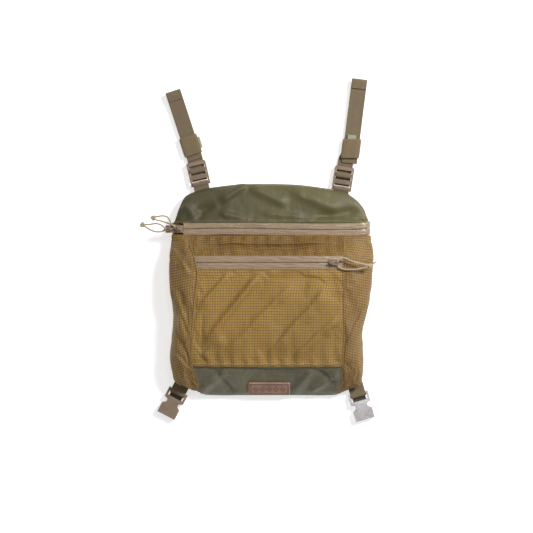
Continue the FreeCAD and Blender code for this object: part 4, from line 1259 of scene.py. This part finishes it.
down = np.tile((0.0, 0.0, -1.0), (80, 1))      # the back's stitches face the floor
back_lines = [np.c_[np.full(80, x), np.linspace(-124, 122, 80), np.full(80, 1.4)] for x in CHANNELS_X]
back_lines += [np.c_[np.linspace(-93, 93, 80), np.full(80, y), np.full(80, 1.4)] for y in CHANNELS_Y]
stitches("back_stitches", [thread_run(line, down, 4.5, 3.2) for line in back_lines], "thread_dark", "bag")

# %% [markdown]
# ## Finishes
# Every finish is a Principled shader whose colour, roughness and bump come from patterns. First come two small
# helpers that add nodes, then the effects that several finishes share, each as a node group.
# %% Node helpers
def add_node(tree, kind, inputs=(), **settings):
    """New shader node: settings are its attributes; each input gets a value or another node's output."""
    made = tree.nodes.new("ShaderNode" + kind)
    for key, value in settings.items():
        setattr(made, key, value)
    for key, value in dict(inputs).items():
        if isinstance(value, bpy.types.NodeSocket):
            tree.links.new(value, made.inputs[key])
        else:
            made.inputs[key].default_value = value
    return made


def calc(tree, operation, *values):
    """Output of a Math node."""
    return add_node(tree, "Math", enumerate(values), operation=operation).outputs[0]


def mix_colours(tree, share, low, high):
    """Low colour towards high colour by a share."""
    made = add_node(tree, "Mix", data_type="RGBA")
    for socket, value in zip((made.inputs[0], made.inputs[6], made.inputs[7]), (share, low, high)):
        if isinstance(value, bpy.types.NodeSocket):
            tree.links.new(value, socket)
        else:
            socket.default_value = value if np.isscalar(value) else (*value, 1)
    return made.outputs[2]


def shared_effect(name, inputs, build):
    """Node group: build(tree, its input sockets) returns the output sockets by name."""
    tree = bpy.data.node_groups.new(name, "ShaderNodeTree")
    for label, value in inputs.items():
        kind = "NodeSocketVector" if value is None else "NodeSocketFloat"
        socket = tree.interface.new_socket(label, in_out="INPUT", socket_type=kind)
        if value is not None:
            socket.default_value = value
    given = tree.nodes.new("NodeGroupInput").outputs
    made = build(tree, given)
    for label in made:
        tree.interface.new_socket(label, in_out="OUTPUT", socket_type="NodeSocketFloat")
    out = tree.nodes.new("NodeGroupOutput")
    for label, socket in made.items():
        tree.links.new(socket, out.inputs[label])
    return tree


print("node helpers ready")

# %% [markdown]
# Ripstop is a thin plain weave with thicker yarns at even steps, which show as a darker grid. Webbing has a
# slanted rib that turns at its middle.
# %% Weaves
FINE_YARN, WEB_YARN = 0.00045, 0.0007           # metres from one yarn to the next


def ripstop_nodes(tree, given):
    """Line = 1 where the phase u / pitch or v / pitch is near a whole number; yarn = sin u times sin v."""
    u, v, _ = add_node(tree, "SeparateXYZ", {0: given["Vector"]}).outputs
    lines = []
    for axis in (u, v):
        phase = calc(tree, "PINGPONG", calc(tree, "DIVIDE", axis, given["Pitch"]), 0.5)
        edge = calc(tree, "ADD", given["Share"], 0.09)
        line = add_node(tree, "MapRange", {0: phase, 1: given["Share"], 2: edge, 3: 1.0, 4: 0.0})
        lines.append(line.outputs[0])
    waves = [calc(tree, "SINE", calc(tree, "MULTIPLY", axis, 2 * math.pi / FINE_YARN)) for axis in (u, v)]
    across = calc(tree, "MULTIPLY", lines[0], 0.8)
    return {"Line": calc(tree, "MAXIMUM", across, lines[1]), "Cross": calc(tree, "MULTIPLY", *lines),
            "Yarn": calc(tree, "MULTIPLY_ADD", calc(tree, "MULTIPLY", *waves), 0.5, 0.5)}


def rib_nodes(tree, given):
    """Slanted ribs: sine of (v + |u - fold|) / rib, a herringbone; the fold repeats across the web."""
    u, v, _ = add_node(tree, "SeparateXYZ", {0: given["Vector"]}).outputs
    slant = calc(tree, "PINGPONG", u, given["Fold"])
    turns = calc(tree, "DIVIDE", 2 * math.pi, given["Rib"])
    phase = calc(tree, "MULTIPLY", calc(tree, "ADD", v, slant), turns)
    rib = calc(tree, "MULTIPLY_ADD", calc(tree, "SINE", phase), 0.5, 0.5)
    other = calc(tree, "SUBTRACT", v, slant)
    fine = calc(tree, "SINE", calc(tree, "MULTIPLY", other, 2 * math.pi / WEB_YARN))
    return {"Rib": rib, "Yarn": calc(tree, "MULTIPLY_ADD", fine, 0.5, 0.5)}


print("weaves ready")

# %% [markdown]
# Moulded parts, leather and films have a fine grain. Everything gathers a little wear and dust, which soft
# noise gives.
# %% Grain, mottle and wear
def mottle_nodes(tree, given):
    """Soft noise stretched over 0 to 1: patches of fading, dust or shade."""
    noise = add_node(tree, "TexNoise", {"Vector": given["Vector"], "Scale": given["Scale"], "Detail": 4.0,
                                        "Roughness": 0.55}).outputs[0]
    return {"Patch": add_node(tree, "MapRange", {0: noise, 1: 0.33, 2: 0.67}).outputs[0]}


def grain_nodes(tree, given):
    """Cells give pebbles and noise breaks them up."""
    vector, scale = given["Vector"], given["Scale"]
    cells = add_node(tree, "TexVoronoi", {"Vector": vector, "Scale": scale}).outputs["Distance"]
    finer = calc(tree, "MULTIPLY", scale, 2.3)
    noise = add_node(tree, "TexNoise", {"Vector": vector, "Scale": finer, "Detail": 3.0}).outputs[0]
    return {"Height": calc(tree, "MULTIPLY_ADD", cells, 0.6, calc(tree, "MULTIPLY", noise, 0.4))}


def wear_nodes(tree, given):
    """Convex edges, broken by noise: the places where rubbing shows."""
    edge = add_node(tree, "NewGeometry").outputs["Pointiness"]
    sharp = add_node(tree, "MapRange", {0: edge, 1: 0.51, 2: 0.58}).outputs[0]
    inputs = {"Vector": given["Vector"], "Scale": given["Scale"], "Detail": 5.0}
    noise = add_node(tree, "TexNoise", inputs).outputs[0]
    broken = add_node(tree, "MapRange", {0: noise, 1: 0.4, 2: 0.62}).outputs[0]
    return {"Mask": calc(tree, "MULTIPLY", sharp, broken)}


EFFECTS = {
    "ripstop": shared_effect("ripstop_weave", {"Vector": None, "Pitch": 0.0034, "Share": 0.12}, ripstop_nodes),
    "rib": shared_effect("webbing_rib", {"Vector": None, "Rib": 0.0011, "Fold": 0.005}, rib_nodes),
    "mottle": shared_effect("mottle", {"Vector": None, "Scale": 14.0}, mottle_nodes),
    "grain": shared_effect("grain", {"Vector": None, "Scale": 900.0}, grain_nodes),
    "wear": shared_effect("edge_wear", {"Vector": None, "Scale": 180.0}, wear_nodes)}
print("shared effects:", *EFFECTS)

# %% [markdown]
# A finish is put together from layers: a start colour with others over it, a range of roughness, and bumps
# one over another. One small class keeps the tree and its two sets of coordinates.
# %% Finish tools
class Finish:
    """One material: its tree, its coordinates and the effects placed in it."""

    def __init__(self, name, **constants):
        """Constants go on the shader's own sockets."""
        self.material = MATERIALS[name] = bpy.data.materials.new(name)
        self.material.use_nodes = True
        self.tree = self.material.node_tree
        self.shader = self.tree.nodes["Principled BSDF"]
        place = add_node(self.tree, "TexCoord").outputs
        self.object, self.cloth = place["Object"], add_node(self.tree, "UVMap", uv_map="cloth").outputs[0]
        for key, value in constants.items():
            self.shader.inputs[key.replace("_", " ")].default_value = value

    def effect(self, name, vector, **values):
        """Outputs of a shared effect with this finish's values."""
        inputs = {"Vector": vector, **values}
        made = self.tree.nodes.new("ShaderNodeGroup")
        made.node_tree = EFFECTS[name]
        for key, value in inputs.items():
            if isinstance(value, bpy.types.NodeSocket):
                self.tree.links.new(value, made.inputs[key])
            else:
                made.inputs[key].default_value = value
        return made.outputs

    def stretched(self, vector, scale):
        """Coordinates scaled by axis."""
        return add_node(self.tree, "Mapping", {"Vector": vector, "Scale": scale}).outputs[0]

    def colour(self, *layers):
        """Start colour, then (share, colour) layers over it."""
        last = layers[0]
        for share, over in layers[1:]:
            last = mix_colours(self.tree, share, last, over)
        self.tree.links.new(last, self.shader.inputs["Base Color"])

    def rough(self, share, low, high):
        """Roughness from low to high by a share."""
        made = add_node(self.tree, "MapRange", {0: share, 3: low, 4: high}).outputs[0]
        self.tree.links.new(made, self.shader.inputs["Roughness"])

    def bump(self, *heights):
        """Bumps one over another: (height, how deep in mm)."""
        last = None
        for height, deep in heights:
            inputs = {"Height": height, "Distance": deep * MM, "Strength": 1.0}
            if last is not None:
                inputs["Normal"] = last
            last = add_node(self.tree, "Bump", inputs).outputs[0]
        self.tree.links.new(last, self.shader.inputs["Normal"])

    def part(self, share, most):
        """A share kept under a most."""
        return calc(self.tree, "MULTIPLY", share, most)


print("finish tools ready")

# %% [markdown]
# The bag's body is golden tan ripstop; its side panels and the band are the same cloth made darker and a little
# browner as painted shade. The lid and the bottom are olive cloth with a satin coat and shallow wrinkles; the
# lid's cloth is darker towards its left end, painted shade.
# %% Cloths
def ripstop(name, yarn, faded, grid, rough=(0.52, 0.68)):
    """Grid lines and crossings over two tones of the yarn."""
    cloth = Finish(name, Specular_IOR_Level=0.28, Sheen_Weight=0.03, Sheen_Roughness=0.5)
    weave = cloth.effect("ripstop", cloth.cloth, Pitch=0.0034, Share=0.12)
    fade = cloth.effect("mottle", cloth.object, Scale=9.0)["Patch"]
    fleck = cloth.effect("mottle", cloth.cloth, Scale=900.0)["Patch"]
    dust = cloth.effect("mottle", cloth.object, Scale=60.0)["Patch"]
    dark = tuple(0.55 * c for c in grid)
    cloth.colour(mix_colours(cloth.tree, fade, yarn, faded), (cloth.part(fleck, 0.12), dark),
                 (cloth.part(dust, 0.06), (0.55, 0.45, 0.3)), (cloth.part(weave["Line"], 0.8), grid),
                 (cloth.part(weave["Cross"], 0.3), dark))
    cloth.rough(weave["Line"], *rough)
    wrinkle = cloth.effect("mottle", cloth.stretched(cloth.cloth, (1.0, 0.45, 1.0)), Scale=70.0)["Patch"]
    cloth.bump((wrinkle, 0.5), (weave["Line"], 0.14), (weave["Yarn"], 0.03))


ripstop("ripstop_face", (0.47, 0.265, 0.045), (0.37, 0.21, 0.04), (0.18, 0.115, 0.055))
# The band's ripstop is the face's cloth made darker: painted shade of the recessed band.
ripstop("ripstop_band_painted_shade", (0.31, 0.165, 0.022), (0.25, 0.13, 0.02), (0.105, 0.065, 0.03))
# The sides' ripstop is the face's cloth made darker: painted shade of the sloping sides, the zip bay and the
# seam rolls.
ripstop("ripstop_side", (0.38, 0.215, 0.045), (0.30, 0.17, 0.04), (0.14, 0.095, 0.055))


def plain_cloth(name, first, second, rough, yarn=0.04, wrinkle=0.45, painted_left_shade=None, **constants):
    """Two tones, fine yarns, fine wrinkles; creases rub paler; painted shade may darken the left end (-X)."""
    cloth = Finish(name, **constants)
    weave = cloth.effect("ripstop", cloth.cloth, Pitch=0.0009, Share=0.2)
    fade = cloth.effect("mottle", cloth.object, Scale=11.0)["Patch"]
    wrinkles = cloth.effect("mottle", cloth.stretched(cloth.cloth, (1.0, 0.6, 1.0)), Scale=60.0)["Patch"]
    pale = tuple(min(1.0, 1.5 * c + 0.02) for c in first)
    rub = cloth.effect("wear", cloth.object, Scale=150.0)["Mask"]
    layers = [(cloth.part(weave["Yarn"], 0.1), second), (cloth.part(rub, 0.35), pale)]
    if painted_left_shade:
        # painted shade: the colour darkens from x = 0.05 m towards x = -0.10 m, broken a little by noise
        x = add_node(cloth.tree, "SeparateXYZ", {0: cloth.object}).outputs[0]
        broken = calc(cloth.tree, "MULTIPLY_ADD", fade, 0.03, x)
        near = add_node(cloth.tree, "MapRange", {0: broken, 1: 0.05, 2: -0.10},
                        interpolation_type="SMOOTHSTEP")
        layers.insert(0, (cloth.part(near.outputs[0], 0.75), painted_left_shade))
    cloth.colour(mix_colours(cloth.tree, fade, first, second), *layers)
    cloth.rough(wrinkles, *rough)
    cloth.bump((wrinkles, wrinkle), (weave["Yarn"], yarn))


# the olive coated cloth gets painted shade, darker towards its left end
plain_cloth("olive_coated", (0.150, 0.130, 0.052), (0.100, 0.088, 0.036), (0.38, 0.54),
            painted_left_shade=(0.052, 0.045, 0.022), Specular_IOR_Level=0.38)
plain_cloth("olive_base", (0.178, 0.163, 0.100), (0.132, 0.121, 0.075), (0.38, 0.55), Specular_IOR_Level=0.45)
plain_cloth("lining", (0.16, 0.155, 0.135), (0.12, 0.118, 0.105), (0.6, 0.75), Sheen_Weight=0.1)
print("cloths:", *MATERIALS)

# %% [markdown]
# The zip tapes are coated with a clear film, so they shine in long broken streaks; paler streaks are also
# painted into their colour as painted highlights. The coils below them are nylon wire, and the webbing is
# woven nylon with a herringbone rib.
# %% Tapes and webbing
film = Finish("coated_tape", Specular_IOR_Level=0.7, Coat_Weight=0.9, Coat_Roughness=0.13)
streak_and_painted_sheen = film.effect("mottle", film.stretched(film.object, (9.0, 60.0, 20.0)), Scale=7.0)["Patch"]
fade = film.effect("mottle", film.object, Scale=16.0)["Patch"]
grain = film.effect("grain", film.object, Scale=1400.0)["Height"]
# the pale streak layer is a painted highlight; the same streaks also set the roughness and the bump
film.colour((0.35, 0.245, 0.150), (film.part(fade, 0.7), (0.27, 0.18, 0.105)),
            (film.part(streak_and_painted_sheen, 0.12), (0.50, 0.38, 0.27)))
film.rough(streak_and_painted_sheen, 0.2, 0.42)
film.bump((streak_and_painted_sheen, 0.55), (grain, 0.02))

coil = Finish("coil_wire", Specular_IOR_Level=0.5)
shade = coil.effect("mottle", coil.object, Scale=300.0)["Patch"]
coil.colour((0.16, 0.11, 0.07), (shade, (0.11, 0.08, 0.05)))
coil.rough(shade, 0.35, 0.5)
coil.bump((coil.effect("grain", coil.object, Scale=3000.0)["Height"], 0.01))


def woven_web(name, yarn, shade, rib=0.0012, deep=0.16):
    """Herringbone ribs in two tones, fuzzy and faded at the edges."""
    web = Finish(name, Specular_IOR_Level=0.3, Sheen_Weight=0.12, Sheen_Roughness=0.45)
    ribs = web.effect("rib", web.cloth, Rib=rib, Fold=0.0051)
    fade = web.effect("mottle", web.object, Scale=45.0)["Patch"]
    rub = web.effect("wear", web.object, Scale=240.0)["Mask"]
    pale = tuple(1.35 * c + 0.02 for c in yarn)
    web.colour(mix_colours(web.tree, ribs["Rib"], shade, yarn), (web.part(fade, 0.3), shade),
               (web.part(rub, 0.4), pale))
    web.rough(ribs["Rib"], 0.75, 0.58)
    web.bump((ribs["Rib"], deep), (ribs["Yarn"], 0.04))


woven_web("webbing", (0.255, 0.19, 0.115), (0.15, 0.112, 0.066))
woven_web("keeper_web", (0.26, 0.19, 0.105), (0.17, 0.125, 0.068), rib=0.0009, deep=0.12)
woven_web("binding", (0.20, 0.15, 0.085), (0.125, 0.093, 0.052), rib=0.0014)
woven_web("sage_tab", (0.40, 0.40, 0.29), (0.32, 0.32, 0.23), rib=0.0010, deep=0.08)
woven_web("back_mesh", (0.14, 0.125, 0.085), (0.06, 0.055, 0.04), rib=0.0026, deep=0.5)
woven_web("cord", (0.56, 0.46, 0.33), (0.36, 0.28, 0.18), rib=0.0011, deep=0.12)
print("finishes so far:", len(MATERIALS))

# %% [markdown]
# Buckles, ladder locks and pull tabs are moulded nylon; the sliders are lacquered metal. Threads have a twist.
# The patch is smooth leather, darker where it is stamped and along its cut edge.
# %% Hard parts, thread and leather
def moulded(name, body, shade, rough, grain=0.03, **constants):
    """Matt moulded surface: pebbled grain, cloudy tone, edges rubbed paler and smoother."""
    plastic = Finish(name, **constants)
    pebbles = plastic.effect("grain", plastic.object, Scale=1500.0)["Height"]
    cloud = plastic.effect("mottle", plastic.object, Scale=70.0)["Patch"]
    rub = plastic.effect("wear", plastic.object, Scale=300.0)["Mask"]
    pale = tuple(min(1.0, 1.45 * c + 0.03) for c in body)
    plastic.colour(mix_colours(plastic.tree, cloud, body, shade), (plastic.part(rub, 0.5), pale))
    plastic.rough(cloud, *rough)
    plastic.bump((pebbles, grain))


moulded("moulded_tan", (0.275, 0.195, 0.135), (0.225, 0.158, 0.108), (0.42, 0.56), Specular_IOR_Level=0.5)
# The right buckle's pale grey is painted glare on the same tan plastic.
moulded("moulded_pale", (0.60, 0.58, 0.60), (0.42, 0.38, 0.36), (0.22, 0.34), Specular_IOR_Level=0.7)
moulded("slider_metal", (0.36, 0.265, 0.165), (0.25, 0.18, 0.11), (0.28, 0.42), Metallic=0.3)
# Dark moulded finish of the buckle guards: painted shade in the buckle slots.
moulded("moulded_dark", (0.13, 0.09, 0.06), (0.09, 0.062, 0.042), (0.4, 0.55), Specular_IOR_Level=0.4)
moulded("back_foam", (0.30, 0.29, 0.26), (0.24, 0.23, 0.21), (0.85, 0.95), grain=0.2)

for name, (thread, shade) in {"thread_tan": ((0.36, 0.26, 0.13), (0.25, 0.17, 0.08)),
                              "thread_olive": ((0.25, 0.24, 0.15), (0.17, 0.16, 0.09)),
                              "thread_dark": ((0.06, 0.045, 0.035), (0.03, 0.024, 0.02))}.items():
    yarn = Finish(name, Specular_IOR_Level=0.4, Sheen_Weight=0.1)
    twist = yarn.effect("mottle", yarn.stretched(yarn.object, (1.0, 0.4, 1.0)), Scale=1800.0)["Patch"]
    yarn.colour(thread, (twist, shade))
    yarn.rough(twist, 0.45, 0.65)
    yarn.bump((twist, 0.05))

hide = Finish("leather", Specular_IOR_Level=0.4)
pebble = hide.effect("grain", hide.object, Scale=1100.0)["Height"]
tone = hide.effect("mottle", hide.object, Scale=55.0)["Patch"]
edge = hide.effect("wear", hide.object, Scale=200.0)["Mask"]
dent = add_node(hide.tree, "NewGeometry").outputs["Pointiness"]
pressed = add_node(hide.tree, "MapRange", {0: dent, 1: 0.5, 2: 0.475}).outputs[0]
hide.colour(mix_colours(hide.tree, tone, (0.41, 0.235, 0.165), (0.32, 0.185, 0.13)),
            (hide.part(pressed, 0.9), (0.045, 0.03, 0.025)), (hide.part(edge, 0.3), (0.4, 0.27, 0.18)))
hide.rough(tone, 0.42, 0.6)
hide.bump((pebble, 0.06))
print("finishes:", len(MATERIALS))

# %% [markdown]
# The waiting pieces now get their finishes. The CAD nodes that still show get one too.
# %% Give finishes
for piece, names in WAITING:
    piece.data.materials.clear()
    for name in names:
        piece.data.materials.append(MATERIALS[name])
for piece in [*cords.values(), *knots.values(), tail]:
    piece.data.materials.clear()
    piece.data.materials.append(MATERIALS["cord"])
STILL_CAD = {"back_foam": "back_foam", "back_liner": "lining", "front_divider": "lining"}
for node, name in STILL_CAD.items():
    for slot in NODES[node].material_slots:
        slot.material = MATERIALS[name]
print("pieces finished:", len(WAITING) + len(cords) + len(knots) + 1 + len(STILL_CAD))

# %% [markdown]
# ## Soft pieces declared
# Each free cord is stated with its length, and each sheet with the size it was cut to.
# %% Declarations
for name, (route, length) in ROUTES.items():
    ends = [knots[name]] + ([tail] if name == "pocket" else [])
